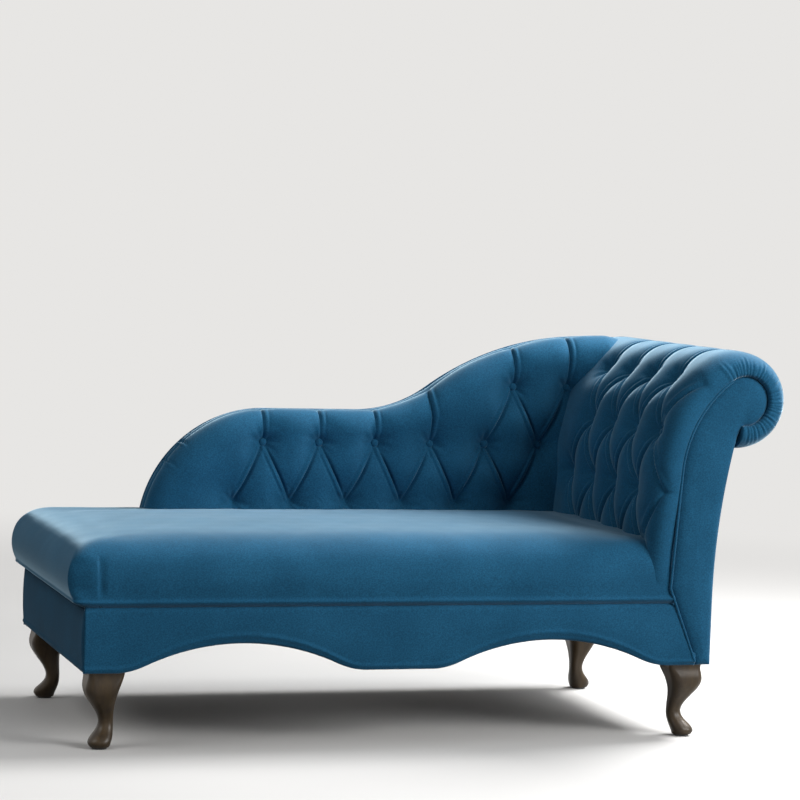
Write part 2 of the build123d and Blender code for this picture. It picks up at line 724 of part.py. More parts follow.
def head_pad():
    """Padded head rest: a band over the face and round the roll, with sewn tufts."""
    inner = head_section(HEAD_PAD, -CLEARANCE, deck)
    y_from = frame_front
    y_to = back_face - CLEARANCE
    pad = along_y(head_section(HEAD_VALLEY, 0.0, deck) - inner, y_from, y_to) + head_collar()
    window = along_y(head_section(-HEAD_VALLEY, 0.0, deck) - inner, y_from + HEAD_EDGE_ROUNDING, y_to)
    window -= block(base_left, roll_x, front, rear, 0, seat_crest + CLEARANCE)
    roll_window = along_y(head_section(0.0, 0.0, deck) - inner, y_from + HEAD_EDGE_ROUNDING, y_to)
    roll_window -= block(base_left, on_arc(arc_end, 0.0)[0], front, rear, 0, roll_top)
    for piece in head_pillows():
        pad += piece & window
    for rib in roll_channels():
        pad += rib & roll_window
    for y, run in head_button_places():
        pad -= head_plane(y, run) * button_well()
    return pad


def head_buttons():
    """Buttons of the head, at the bottoms of their wells."""
    return Compound(children=[head_plane(y, run) * button() for y, run in head_button_places()])


def head_board(y_from):
    """Scroll board that gives the head end its side view."""
    outline = head_section(HEAD_PAD + CLEARANCE, OUTER_END_THICKNESS + CLEARANCE, rail_top)
    return along_y(outline, y_from, y_from + HEAD_BOARD)


def head_span():
    """Depths of the inner faces of the two scroll boards."""
    return frame_front + HEAD_BOARD, back_face - CLEARANCE - HEAD_BOARD


def head_lining():
    """Bent board behind the head pad, between the scroll boards."""
    outer = HEAD_PAD + CLEARANCE
    end = 3 * OUTER_END_THICKNESS
    outline = head_section(outer, end, rail_top)
    outline -= head_section(outer + HEAD_LINING, end - CLEARANCE, rail_top)
    return along_y(outline, *head_span())


def head_battens():
    """Battens between the scroll boards, behind the lining."""
    y_from, y_to = head_span()
    inset = HEAD_PAD + HEAD_LINING + CLEARANCE
    battens = []
    inner = arc_radius - inset
    bow = inner - sqrt(inner**2 - BATTEN_WIDTH**2 / 4)
    runs = [share * flat_run for share in BATTEN_FACE_SHARES] + [flat_run + BATTEN_ARC_SHARE * arc_run]
    for run in runs:
        (x, z), (normal_x, normal_z) = on_head(run, inset + bow + BATTEN_THICKNESS / 2)
        middle = (x, (y_from + y_to) / 2, z)
        plane = Plane(origin=middle, x_dir=(0, -1, 0), z_dir=(normal_x, 0, normal_z))
        battens.append(plane * Box(y_to - y_from, BATTEN_WIDTH, BATTEN_THICKNESS))
    return Compound(children=battens)


def scroll_facing():
    """Flat padded panel on the front of the head end."""
    knee = FACING_KNEE_HEIGHT
    outline = head_section(HEAD_PAD, 0.0, LEG_HEIGHT)
    outline -= polygon((face_foot, LEG_HEIGHT), (facing_edge(LEG_HEIGHT, 0.0), LEG_HEIGHT),
                       (facing_edge(knee, 0.0), knee), (face_foot, knee))
    return along_y(outline, front, frame_front)


def facing_piping():
    """Welt along the inner edge of the scroll facing."""
    bottom = FACING_KNEE_HEIGHT + 2 * PIPING_WIDTH
    band = head_section(HEAD_PAD - PIPING_WIDTH, 0.0, bottom)
    band -= head_section(HEAD_PAD - CLEARANCE, 0.0, bottom)
    band -= polygon((roll_x, bottom), (roll_x + 2 * ROLL_RADIUS, bottom),
                    (roll_x + 2 * ROLL_RADIUS, roll_top), (roll_x, roll_top))
    band -= polygon((base_right, bottom), (roll_x, bottom), (roll_x, ROLL_HEIGHT), (base_right, ROLL_HEIGHT))
    return along_y(band, front, front + PIPING_DEPTH)


def outer_end():
    """Covered panel of the outer end, below the roll."""
    neck, outer = end_edges(0.0)
    inner_neck, inner = end_edges(OUTER_END_THICKNESS)
    hem = Line((base_right, LEG_HEIGHT), (base_right - OUTER_END_THICKNESS, LEG_HEIGHT))
    outline = make_face(outer + inner + [hem, Line(neck, inner_neck)])
    panel = along_y(outline, frame_front, frame_rear)
    return panel - along_y(roll_disc(-CLEARANCE), back_face - CLEARANCE, frame_rear)


def back_board():
    """Board that carries the back, on the rear rail."""
    outline = offset(back_section(OUTER_END_THICKNESS + CLEARANCE, rail_top), -BACK_BOARD_INSET)
    outline += polygon((back_left + BACK_BOARD_INSET, rail_top),
                       (frame_right - CLEARANCE - BACK_BOARD_INSET, rail_top),
                       (frame_right - CLEARANCE - BACK_BOARD_INSET, SEAT_HEIGHT),
                       (back_left + BACK_BOARD_INSET, SEAT_HEIGHT))
    return along_y(outline, board_front, frame_rear)


def outer_back():
    """Covered panel over the whole rear."""
    outline = back_section(0.0, LEG_HEIGHT)
    top = SEAM_HEIGHT - CLEARANCE
    inner = back_left + BACK_SHOULDER_RADIUS
    outline += polygon((base_left, LEG_HEIGHT), (inner, LEG_HEIGHT), (inner, top), (base_left, top))
    return along_y(outline, frame_rear, rear)


def legs():
    """The four legs, by name."""
    names = {(-1, -1): "leg_front_foot", (-1, 1): "leg_rear_foot",
             (1, -1): "leg_front_head", (1, 1): "leg_rear_head"}
    return {names[corner]: leg(*corner) for corner in corners()}


pieces = {
    "front_rail": front_rail(),
    "front_rail_drops": front_rail_drops(),
    "rear_rail": rear_rail(),
    "foot_rail": end_rail(frame_left),
    "head_rail": end_rail(frame_right - RAIL_THICKNESS),
    "cross_rails": cross_rails(),
    "seat_end_rail": seat_end_rail(),
    "corner_blocks": corner_blocks(),
    "back_board": back_board(),
    "head_board_front": head_board(frame_front),
    "head_board_rear": head_board(head_span()[1]),
    "head_lining": head_lining(),
    "head_battens": head_battens(),
    "seat_straps_across": straps_across(),
    "seat_straps_along": straps_along(),
    "seat_foam": seat_foam(),
    "seat_cover": seat_cover(),
    "front_apron": front_apron(),
    "foot_apron": foot_apron(),
    "back_pad": back_pad(),
    "back_buttons": back_buttons(),
    "head_pad": head_pad(),
    "head_buttons": head_buttons(),
    "scroll_facing": scroll_facing(),
    "facing_piping": facing_piping(),
    "outer_back": outer_back(),
    "outer_end": outer_end(),
    "dust_cover": dust_cover(),
    "leg_plates": leg_plates(),
    "leg_bolts": leg_bolts(),
    "leg_glides": leg_glides(),
}
pieces.update(legs())

os.makedirs("parts", exist_ok=True)
for name, piece in pieces.items():
    export_step(piece, f"parts/{name}.step")
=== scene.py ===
"""Tufted chaise longue with a scrolled head end: its velvet, padding, wood and studio."""

import json
import math

import bmesh
import bpy
import numpy as np
from bpy.props import FloatProperty, FloatVectorProperty, IntProperty, PointerProperty
from mathutils import Matrix, Vector
from mathutils.geometry import delaunay_2d_cdt


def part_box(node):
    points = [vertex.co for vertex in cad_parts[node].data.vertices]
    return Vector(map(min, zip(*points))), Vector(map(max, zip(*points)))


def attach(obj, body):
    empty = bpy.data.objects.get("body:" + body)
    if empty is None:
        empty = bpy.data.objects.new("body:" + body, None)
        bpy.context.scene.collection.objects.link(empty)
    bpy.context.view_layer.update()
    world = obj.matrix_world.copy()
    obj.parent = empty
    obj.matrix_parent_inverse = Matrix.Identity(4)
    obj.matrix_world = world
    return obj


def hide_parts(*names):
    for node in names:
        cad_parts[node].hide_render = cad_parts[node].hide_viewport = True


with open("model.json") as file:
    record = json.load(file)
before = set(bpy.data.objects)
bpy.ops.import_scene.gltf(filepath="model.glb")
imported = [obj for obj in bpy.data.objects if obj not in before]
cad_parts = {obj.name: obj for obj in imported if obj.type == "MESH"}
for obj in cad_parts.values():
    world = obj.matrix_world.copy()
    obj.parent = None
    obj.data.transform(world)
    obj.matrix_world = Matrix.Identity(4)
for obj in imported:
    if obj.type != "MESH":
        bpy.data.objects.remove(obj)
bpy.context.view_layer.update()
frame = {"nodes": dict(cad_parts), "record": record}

bl_info = {
    "name": "Tufted Chaise Longue",
    "version": (1, 0, 0),
    "blender": (4, 5, 0),
    "location": "3D View > Sidebar > Chaise",
    "description": "Dresses a chaise longue in tufted velvet and sets it in a studio",
    "category": "Object",
}

# Gap between a cover and the frame
CLEARANCE = 0.0005
# Gap between an apron and the seam of the seat
SEAM_GAP = 0.0006
# Depth of a button in its pad, and its height as a share of its width
BUTTON_SINK = 0.0020
BUTTON_HEIGHT = 0.52
# Valleys of the back's tufts in front of its board
BACK_VALLEY = 0.062
# Seat: step of its rear edge under the back, run of its crown from the foot end, overlaps at the head end
BACK_STEP = 0.0125
CROWN_RUN = 0.35
HEAD_OVERLAP = 0.012
FACING_OVERLAP = 0.004
# Cloth held back from the back's top edge
EDGE_SPARE = 0.008
# Quarter of a circle less its radius, as a share of the radius
QUARTER_EXTRA = 0.5708
# Turns below the level at which the head's cloth and the facing's scroll end
CLOTH_END = math.radians(97.0)
FACING_END = math.radians(48.0)
# Pressure under the cloth, and the furthest that the cloth may move
SEAT_PRESSURE, SEAT_SWELL = 0.6, 0.007
BACK_PRESSURE, BACK_SWELL = 4.0, 0.006
BLACK = (0.0, 0.0, 0.0, 1.0)
WHITE = (1.0, 1.0, 1.0, 1.0)


# Settings


def length(name, description, default):
    """A length in metres."""
    return FloatProperty(name=name, description=description, default=default, unit="LENGTH", precision=4)


def angle(name, description, degrees):
    """An angle, given in degrees."""
    return FloatProperty(name=name, description=description, default=math.radians(degrees), unit="ROTATION")


def number(name, description, default):
    """A plain number."""
    return FloatProperty(name=name, description=description, default=default)


def colour(name, description, default):
    """A linear colour."""
    return FloatVectorProperty(name=name, description=description, default=default, subtype="COLOR",
                               size=3, min=0.0, max=1.0)


class ChaiseShape(bpy.types.PropertyGroup):
    """Lines of the chaise."""

    cover: length("Cover", "Thickness of the outer end's cover", 0.010)
    roll_radius: length("Roll radius", "Radius of the scroll at the head end", 0.107)
    face_in: length("Face inset", "Head face from the head end of the base, at the deck", 0.158)
    bend_height: length("Bend height", "Height at which the head face starts to curve", 0.590)
    lean: angle("Lean", "Lean of the head face", 4.0)
    neck_out: length("Neck out", "Neck of the outer end beyond the base", 0.045)
    neck_drop: length("Neck drop", "Neck below the middle of the roll", 0.071)
    back_low: length("Back height", "Height of the low part of the back", 0.666)
    shoulder: length("Shoulder", "Radius of the back's foot side shoulder", 0.294)
    rise_start: length("Rise start", "Start of the back's rise, from the foot end of the base", 0.770)
    rise_end: length("Rise end", "End of the rise, from the head end of the base", 0.056)
    rise_radius: length("Rise radius", "Radius of the hollow part of the rise", 0.300)
    seat_height: length("Seat height", "Height of the seat at its edges", 0.440)
    seat_crown: length("Seat crown", "Rise of the seat's middle before it swells", 0.008)
    seat_front: length("Seat front", "Radius of the seat's front edge", 0.088)
    seat_rear: length("Seat rear", "Radius of the seat's rear edge", 0.050)
    nose_radius: length("Nose radius", "Radius of the seat's foot end", 0.084)
    scallop_width: length("Scallop width", "Width of an arch in the apron", 0.490)
    scallop_rise: length("Scallop rise", "Height of an arch in the apron", 0.059)
    scallop_gap: length("Scallop gap", "Straight hem between the arches", 0.196)
    facing_toe: length("Facing toe", "Toe of the scroll facing, from the head end of the base", 0.036)
    facing_knee: length("Facing knee", "Height at which the facing's edge starts to follow the pad", 0.332)
    head_pad: length("Head pad", "Padding over the edge of the facing", 0.052)
    piping: length("Piping", "Radius of the piping", 0.0031)


class ChaiseTufts(bpy.types.PropertyGroup):
    """Buttons, pleats and padding."""

    pitch: length("Back pitch", "Buttons along a row of the back", 0.135)
    row: length("Back rows", "Height from row to row of the back", 0.137)
    first_row: length("First row", "Height of the back's lowest row", 0.456)
    first_button: length("First button", "First button, from the foot end of the base", 0.4615)
    head_pitch: length("Head pitch", "Buttons along a row of the head rest", 0.132)
    head_row: length("Head rows", "Distance from row to row of the head rest", 0.133)
    head_first_row: length("Head first row", "Lowest row of the head rest, along its face", 0.112)
    head_first_button: length("Head first button", "First button from the front of the frame", 0.064)
    crest: length("Back crest", "Padding over the buttons of the back", 0.037)
    head_crest: length("Head crest", "Padding over the buttons of the head rest", 0.027)
    valley: length("Valley", "Buttons of the head rest under its outline", 0.014)
    pleat_reach: length("Pleat reach", "How far a pleat draws the padding in", 0.044)
    pleat_share: number("Pleat depth", "Depth of the head rest's pleats as a share of the padding", 0.6)
    back_share: number("Back pleats", "Depth of the back's pleats as a share of the padding", 0.46)
    dimple: length("Dimple", "How far a button of the head rest draws the padding in", 0.032)
    back_dimple: length("Back dimple", "How far a button of the back draws the padding in", 0.042)
    fold: length("Fold", "Height of the fold beside a pleat", 0.0034)
    back_rounding: length("Back rounding", "Radius of the back's edge", 0.042)
    button_radius: length("Button radius", "Radius of a covered button", 0.0095)
    cells: IntProperty(name="Cells", description="Mesh cells from button to button", default=30)
    seed: IntProperty(name="Seed", description="Seed of the small irregularities", default=7)


class ChaiseFinish(bpy.types.PropertyGroup):
    """Colours of the cloth and the wood."""

    velvet: colour("Velvet", "Velvet seen into the pile", (0.0095, 0.082, 0.164))
    nap: colour("Nap", "Velvet where the pile lies over", (0.0130, 0.100, 0.196))
    sheen: colour("Sheen", "Light that glances off the pile", (0.60, 0.85, 1.0))
    leg: colour("Legs", "Dark stained wood", (0.021, 0.0115, 0.0035))
    leg_light: colour("Legs, light", "Lighter grain of the stained wood", (0.052, 0.031, 0.010))
    frame_wood: colour("Frame", "Hidden hardwood", (0.36, 0.22, 0.11))
    plywood: colour("Plywood", "Hidden boards", (0.48, 0.33, 0.18))
    foam: colour("Foam", "Seat foam", (0.72, 0.66, 0.48))
    webbing: colour("Webbing", "Elastic webbing", (0.05, 0.05, 0.055))
    dust_cloth: colour("Dust cloth", "Cloth under the frame", (0.012, 0.012, 0.014))
    steel: colour("Steel", "Plates and bolts", (0.48, 0.47, 0.45))
    glide: colour("Glide", "Nylon glides", (0.03, 0.028, 0.026))


class ChaiseStage(bpy.types.PropertyGroup):
    """Studio."""

    floor: colour("Floor", "Floor and backdrop", (0.80, 0.79, 0.775))
    bounce: colour("Bounce", "Light that the floor throws back", (0.15, 0.16, 0.165))
    camera: FloatVectorProperty(name="Camera", description="Place of the camera", size=3, unit="LENGTH",
                                default=(-1.8967, -6.0031, 1.0968))
    yaw: angle("Yaw", "Camera's turn to the right", 17.616)
    pitch: angle("Pitch", "Camera's tilt down", 3.499)
    roll: angle("Roll", "Camera's roll", 1.99)
    lens: number("Lens", "Focal length in millimetres", 126.88)
    key: number("Key light", "Power of the high light in watts", 200.0)
    fill: number("Fill light", "Power of the front light in watts", 170.0)
    side: number("Side light", "Power of the foot side light in watts", 34.0)
    sky: number("Ambient", "Strength of the even light", 0.30)


# Lines of the chaise


class Layout:
    """Side view of the chaise in metres, from the CAD boxes and the shape settings."""

    def __init__(self, shape):
        self.shape = shape
        self.left, self.front, self.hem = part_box("front_apron")[0]
        self.tip, _, self.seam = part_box("seat_cover")[0]
        self.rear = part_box("outer_back")[1].y
        self.frame_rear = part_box("back_board")[1].y
        self.frame_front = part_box("scroll_facing")[1].y
        self.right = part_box("head_rail")[1].x + shape.cover
        self.back_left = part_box("back_pad")[0].x
        self.radius = shape.roll_radius
        head_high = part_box("outer_back")[1]
        self.roll = np.array((head_high.x - self.radius, head_high.z - self.radius))
        self.face_foot = self.right - shape.face_in
        self.lean = np.array((math.sin(shape.lean), math.cos(shape.lean)))
        self.flat_run = (shape.bend_height - self.seam) / self.lean[1]
        bend = np.array((self.face_foot, self.seam)) + self.flat_run * self.lean
        reach = self.roll - bend
        across = reach[0] * self.lean[1] - reach[1] * self.lean[0]
        self.arc_radius = (reach @ reach - self.radius ** 2) / (2 * (across - self.radius))
        self.arc_centre = bend + self.arc_radius * np.array((self.lean[1], -self.lean[0]))
        self.arc_start = math.pi - shape.lean
        to_roll = self.roll - self.arc_centre
        self.arc_end = math.atan2(to_roll[1], to_roll[0])
        self.roll_run = self.flat_run + self.arc_radius * (self.arc_start - self.arc_end)
        self.neck = np.array((self.right + shape.neck_out, self.roll[1] - shape.neck_drop))
        self.end_run = self.roll_run + self.radius * (self.arc_end + CLOTH_END)

    def head(self, run, inset=0.0):
        """Points (x, z) on the head's line at each run, set in by inset, and the outward directions."""
        run = np.asarray(run, float)
        inset = np.broadcast_to(np.asarray(inset, float), run.shape)
        on_flat = run < self.flat_run
        on_roll = run > self.roll_run
        arc = self.arc_start - (run - self.flat_run) / self.arc_radius
        roll = self.arc_end - (run - self.roll_run) / self.radius
        angle = np.where(on_roll, roll, np.where(on_flat, self.arc_start, arc))
        out = around(angle)
        flat = np.array((self.face_foot, self.seam)) + run[..., None] * self.lean
        bent = self.arc_centre + self.arc_radius * out
        rolled = self.roll + self.radius * out
        place = np.where(on_roll[..., None], rolled, np.where(on_flat[..., None], flat, bent))
        return place - inset[..., None] * out, out

    def face_x(self, height, inset):
        """x of the head face's line at a height, set in by inset."""
        runs = np.linspace(0.0, self.roll_run, 400)
        line = self.head(runs, inset)[0]
        return np.interp(height, line[:, 1], line[:, 0])

    def facing_edge(self, height):
        """x of the facing's edge below and above its knee."""
        shape = self.shape
        knee = float(self.face_x(shape.facing_knee, shape.head_pad))
        toe = self.right - shape.facing_toe
        share = (np.asarray(height) - self.hem) / (shape.facing_knee - self.hem)
        low = toe + share * (knee - toe)
        return np.where(share < 1.0, low, self.face_x(height, shape.head_pad))

    def end_x(self, height):
        """x of the outer end at a height."""
        rise = self.neck[1] - self.seam
        out = self.neck[0] - self.right
        radius = (out ** 2 + rise ** 2) / (2 * out)
        above = np.clip(np.asarray(height) - self.seam, 0.0, None)
        return self.right + radius - np.sqrt(radius ** 2 - above ** 2)

    def back_top(self, step=0.004):
        """Top edge of the back from the foot side, as points (x, z)."""
        shape = self.shape
        low = shape.back_low
        middle = np.array((self.back_left + shape.shoulder, low - shape.shoulder))
        turn = np.linspace(math.pi, math.pi / 2, int(shape.shoulder * 1.57 / step))
        shoulder = middle + shape.shoulder * around(turn)
        start = np.array((self.left + shape.rise_start, low))
        end = np.array((self.right - shape.rise_end, self.roll[1] + self.radius))
        span = end - start
        angle = 2 * math.atan2(span[1], span[0])
        second = span[0] / math.sin(angle) - shape.rise_radius
        turn = np.linspace(0.0, angle, int(shape.rise_radius * angle / step))
        hollow = start + shape.rise_radius * joined(np.sin(turn), 1 - np.cos(turn))
        turn = np.linspace(angle, 0.0, int(second * angle / step))
        crown = end - second * joined(np.sin(turn), 1 - np.cos(turn))
        foot = joined(self.back_left, np.arange(self.seam + 0.09, middle[1] - step / 2, step))
        level = joined(np.arange(shoulder[-1][0] + step, start[0] - step / 2, step), low)
        top = joined(np.arange(end[0] + step, self.roll[0], step), end[1])
        return np.concatenate((foot, shoulder, level, hollow, crown[1:], top))

    def scallop(self, x):
        """Rise of the hem at x, with the ends of the arches softened."""
        shape = self.shape
        middle = (self.left + self.right - shape.facing_toe) / 2
        apart = (shape.scallop_gap + shape.scallop_width) / 2
        radius = (shape.scallop_width ** 2 / 4 + shape.scallop_rise ** 2) / (2 * shape.scallop_rise)
        drop, soft = 0.004, 0.030
        total = np.zeros(np.shape(x))
        shifts = np.linspace(-soft, soft, 13)
        for shift in shifts:
            off = np.abs(np.abs(np.asarray(x) + shift - middle) - apart)
            arch = np.sqrt(np.clip(radius ** 2 - off ** 2, 0.0, None)) - (radius - shape.scallop_rise)
            total += np.clip(arch - drop, 0.0, None)
        return total / len(shifts) * shape.scallop_rise / (shape.scallop_rise - drop)


# Mesh helpers


def smoothstep(value, low, high):
    """0 below low, 1 above high, smooth between."""
    share = np.clip((np.asarray(value, float) - low) / (high - low), 0.0, 1.0)
    return share * share * (3 - 2 * share)


def bump(gap, width):
    """1 at no gap, fading to 0 over a few widths."""
    return np.exp(-(gap / width) ** 2)


def joined(*columns):
    """Points from columns of coordinates; a single number serves the whole column."""
    return np.stack(np.broadcast_arrays(*columns), -1)


def around(turn):
    """Directions (cosine, sine) of turns."""
    return joined(np.cos(turn), np.sin(turn))


def ripple(points, seed, waves, size):
    """Soft irregular field of height about 1 over points in two or three dimensions."""
    chance = np.random.default_rng(seed)
    field = np.zeros(len(points))
    for _ in range(waves):
        way = chance.normal(size=points.shape[1])
        way *= 2 * math.pi / (np.linalg.norm(way) * size * chance.uniform(0.7, 1.5))
        field += np.sin(points @ way + chance.uniform(0, 2 * math.pi))
    return field / math.sqrt(waves)


def new_piece(name, points, faces, material):
    """Smooth mesh object of the row frame with outward normals."""
    mesh = bpy.data.meshes.new(name)
    mesh.from_pydata(np.asarray(points).tolist(), [], faces)
    work = bmesh.new()
    work.from_mesh(mesh)
    bmesh.ops.remove_doubles(work, verts=work.verts, dist=1e-6)
    bmesh.ops.triangulate(work, faces=[face for face in work.faces if len(face.verts) > 4])
    bmesh.ops.recalc_face_normals(work, faces=work.faces)
    work.to_mesh(mesh)
    work.free()
    mesh.validate()
    mesh.shade_smooth()
    mesh.materials.append(material)
    piece = bpy.data.objects.new(name, mesh)
    bpy.context.scene.collection.objects.link(piece)
    return piece


def coordinates(mesh):
    """Points of a mesh as an array."""
    points = np.empty(3 * len(mesh.vertices))
    mesh.vertices.foreach_get("co", points)
    return points.reshape(-1, 3)


def swell(piece, free, pressure, cap, frames=12):
    """Blows up the cloth between its held points; free is 0 where it is held and 1 where it may move."""
    start = coordinates(piece.data)
    held_below = 0.02
    group = piece.vertex_groups.new(name="held")
    group.add(np.flatnonzero(free < held_below).tolist(), 1.0, "REPLACE")
    modifier = piece.modifiers.new("swell", "CLOTH")
    settings = modifier.settings
    settings.quality = 4
    settings.use_pressure = True
    settings.uniform_pressure_force = pressure
    settings.effector_weights.gravity = 0.0
    settings.vertex_group_mass = group.name
    settings.tension_stiffness = settings.compression_stiffness = 15.0
    settings.bending_stiffness = 0.5
    modifier.collision_settings.use_collision = False
    modifier.point_cache.frame_start = 1
    modifier.point_cache.frame_end = frames
    scene = bpy.context.scene
    for number in range(1, frames + 1):
        scene.frame_set(number)
    shown = piece.evaluated_get(bpy.context.evaluated_depsgraph_get())
    move = coordinates(shown.data) - start
    size = np.linalg.norm(move, axis=1)
    move *= (free * np.minimum(1.0, cap / np.maximum(size, 1e-9)))[:, None]
    piece.modifiers.remove(modifier)
    piece.vertex_groups.remove(group)
    scene.frame_set(1)
    piece.data.vertices.foreach_set("co", (start + move).ravel())
    piece.data.update()


def grid_faces(rows, columns, start=0, closed=False):
    """Quads over a grid of points that is stored row by row; closed joins the last column to the first."""
    faces = []
    last = columns if closed else columns - 1
    for row in range(rows - 1):
        for column in range(last):
            right = (column + 1) % columns
            low = start + row * columns
            faces.append((low + column, low + right, low + columns + right, low + columns + column))
    return faces


def loop_solid(name, loops, material):
    """Closed solid through loops of equal size, with a cap at each end."""
    count = len(loops[0])
    points = np.concatenate(loops)
    faces = grid_faces(len(loops), count, closed=True)
    faces.append(tuple(range(count)))
    faces.append(tuple(range((len(loops) - 1) * count, len(loops) * count)))
    return new_piece(name, points, faces, material)


def inside(points, outline):
    """Which points lie within a closed outline."""
    x, y = points[:, 0], points[:, 1]
    within = np.zeros(len(points), bool)
    for start, end in zip(outline, np.roll(outline, -1, axis=0)):
        if start[1] == end[1]:
            continue
        crosses = (start[1] > y) != (end[1] > y)
        at = start[0] + (y - start[1]) * (end[0] - start[0]) / (end[1] - start[1])
        within ^= crosses & (x < at)
    return within


def nearest(points, line):
    """Distance to the nearest point of a dense line, and its index."""
    distance = np.empty(len(points))
    index = np.empty(len(points), int)
    batch = 4000
    for first in range(0, len(points), batch):
        part = slice(first, first + batch)
        gaps = ((points[part, None, :] - line[None, :, :]) ** 2).sum(2)
        index[part] = gaps.argmin(1)
        distance[part] = np.sqrt(gaps.min(1))
    return distance, index


def along_line(points, line):
    """Distance to an open line and the place along it, in steps of its points."""
    _, index = nearest(points, line)
    best = np.full(len(points), np.inf)
    place = np.zeros(len(points))
    for shift in (-1, 0):
        first = np.clip(index + shift, 0, len(line) - 2)
        start, span = line[first], line[first + 1] - line[first]
        share = np.clip(((points - start) * span).sum(1) / (span * span).sum(1), 0.0, 1.0)
        gap = np.linalg.norm(points - start - share[:, None] * span, axis=1)
        closer = gap < best
        best = np.where(closer, gap, best)
        place = np.where(closer, first + share, place)
    return best, place


def at_place(values, place):
    """Values along a line at places between its points."""
    first = np.clip(place.astype(int), 0, len(values) - 2)
    share = (place - first)[:, None]
    return values[first] * (1 - share) + values[first + 1] * share


def inward(line):
    """Directions to the right of an open line's way."""
    along = np.gradient(line, axis=0)
    along /= np.linalg.norm(along, axis=1)[:, None]
    return joined(along[:, 1], -along[:, 0])


def triangulate(outline, inner, creases=()):
    """Triangles over a closed outline, through the inner points and along the creases."""
    points = [Vector(point) for point in outline] + [Vector(point) for point in inner]
    count = len(outline)
    edges = [(place, (place + 1) % count) for place in range(count)]
    for start, end in creases:
        edges.append((len(points), len(points) + 1))
        points += [Vector(start), Vector(end)]
    result = delaunay_2d_cdt(points, edges, [], 1, 1e-6)
    return np.array([tuple(point) for point in result[0]]), [tuple(face) for face in result[2]]


def rim(faces):
    """The outer edges of a mesh of triangles, in order."""
    count = {}
    for face in faces:
        for start, end in zip(face, face[1:] + face[:1]):
            count[(start, end)] = count.get((start, end), 0) + 1
    follow = {start: end for start, end in count if (end, start) not in count}
    first = next(iter(follow))
    chain = [first]
    while follow[chain[-1]] != first:
        chain.append(follow[chain[-1]])
    return chain


def beside(points, start, end):
    """Places along a line as a share of it, places across it, and how far they lie beyond its ends."""
    start, end = np.asarray(start), np.asarray(end)
    reach = np.linalg.norm(end - start)
    way = (end - start) / reach
    along = (points - start) @ way
    across = (points - start) @ np.array((way[1], -way[0]))
    return along / reach, across, along - np.clip(along, 0.0, reach)


def relief(points, buttons, pleats, tufts, dimple):
    """Share of the full padding at each point of the flat cloth, and the folds beside the pleats."""
    share = np.ones(len(points))
    fold = np.zeros(len(points))
    for start, end, depth in pleats:
        along, across, beyond = beside(points, start, end)
        gap = np.clip(np.hypot(across, beyond) / tufts.pleat_reach, 0.0, 1.0)
        share *= 1 - depth * (1 - np.sqrt(gap * (2 - gap))) * bump(beyond, 0.012)
        arch = np.sin(math.pi * np.clip(along, 0.0, 1.0))
        middle = np.sqrt(np.clip(arch, 0.0, 1.0)) * (beyond == 0.0)
        wide = across / (0.55 + 0.45 * middle)
        band = smoothstep(wide, -0.0005, 0.0035) * (1 - smoothstep(wide, 0.0085, 0.0130))
        near_crease = 0.9 * bump(wide + 0.0015, 0.0022)
        far_crease = 0.45 * bump(wide - 0.0150, 0.0024)
        fold += middle * (band - (near_crease + far_crease))
    chance = np.random.default_rng(tufts.seed)
    whole_turn = 6.28
    for button in buttons:
        off = points - np.asarray(button)
        gap = np.hypot(off[:, 0], off[:, 1])
        share *= 1 - np.exp(-(gap / dimple) ** 1.3)
        turn = np.arctan2(off[:, 1], off[:, 0])
        rays = np.cos(5 * turn + chance.uniform(0, whole_turn))
        rays += np.cos(9 * turn + chance.uniform(0, whole_turn))
        puckers = 0.30 * rays * bump(gap - 0.022, 0.016)
        pit = 1.4 * bump(gap, 0.014)
        fold += puckers - pit
    return share, fold * tufts.fold


def loose(points, buttons, pleats):
    """0 at the buttons and along the pleats of a flat cloth, 1 away from them."""
    free = np.ones(len(points))
    button_held, button_free = 0.010, 0.028
    pleat_held, pleat_free = 0.004, 0.022
    for button in buttons:
        gap = np.linalg.norm(points - np.asarray(button), axis=1)
        free *= smoothstep(gap, button_held, button_free)
    for start, end, _ in pleats:
        _, across, beyond = beside(points, start, end)
        free *= smoothstep(np.hypot(across, beyond), pleat_held, pleat_free)
    return free


# Materials


def feed(tree, node, inputs):
    """Fills a node's inputs; each takes a value or the socket that feeds it."""
    for label, value in inputs.items():
        if isinstance(value, bpy.types.NodeSocket):
            tree.links.new(value, node.inputs[label])
        else:
            node.inputs[label].default_value = value


def add(tree, kind, inputs, **settings):
    """New node with its settings and inputs."""
    node = tree.nodes.new(kind)
    for label, value in settings.items():
        setattr(node, label, value)
    feed(tree, node, inputs)
    return node


def new_group(name, kind, inputs, outputs):
    """Empty node group with named sockets, and its two ends."""
    group = bpy.data.node_groups.new(name, kind)
    for label, socket, default in inputs:
        item = group.interface.new_socket(label, in_out="INPUT", socket_type="NodeSocket" + socket)
        if default is not None:
            item.default_value = default
    for label, socket in outputs:
        group.interface.new_socket(label, in_out="OUTPUT", socket_type="NodeSocket" + socket)
    return group, group.nodes.new("NodeGroupInput"), group.nodes.new("NodeGroupOutput")


def noise(tree, place, scale, detail=2.0, roughness=0.5):
    """Noise texture on the given coordinates."""
    inputs = {"Vector": place, "Scale": scale, "Detail": detail, "Roughness": roughness}
    return add(tree, "ShaderNodeTexNoise", inputs).outputs["Fac"]


def remap(tree, value, low, high, to_low=0.0, to_high=1.0):
    """Smooth change of range."""
    inputs = {"Value": value, "From Min": low, "From Max": high, "To Min": to_low, "To Max": to_high}
    return add(tree, "ShaderNodeMapRange", inputs, interpolation_type="SMOOTHSTEP").outputs["Result"]


def mix(tree, share, first, second):
    """Mix of two colours, which have these places among the sockets of a mix node."""
    return add(tree, "ShaderNodeMix", {"Factor": share, 6: first, 7: second}, data_type="RGBA").outputs[2]


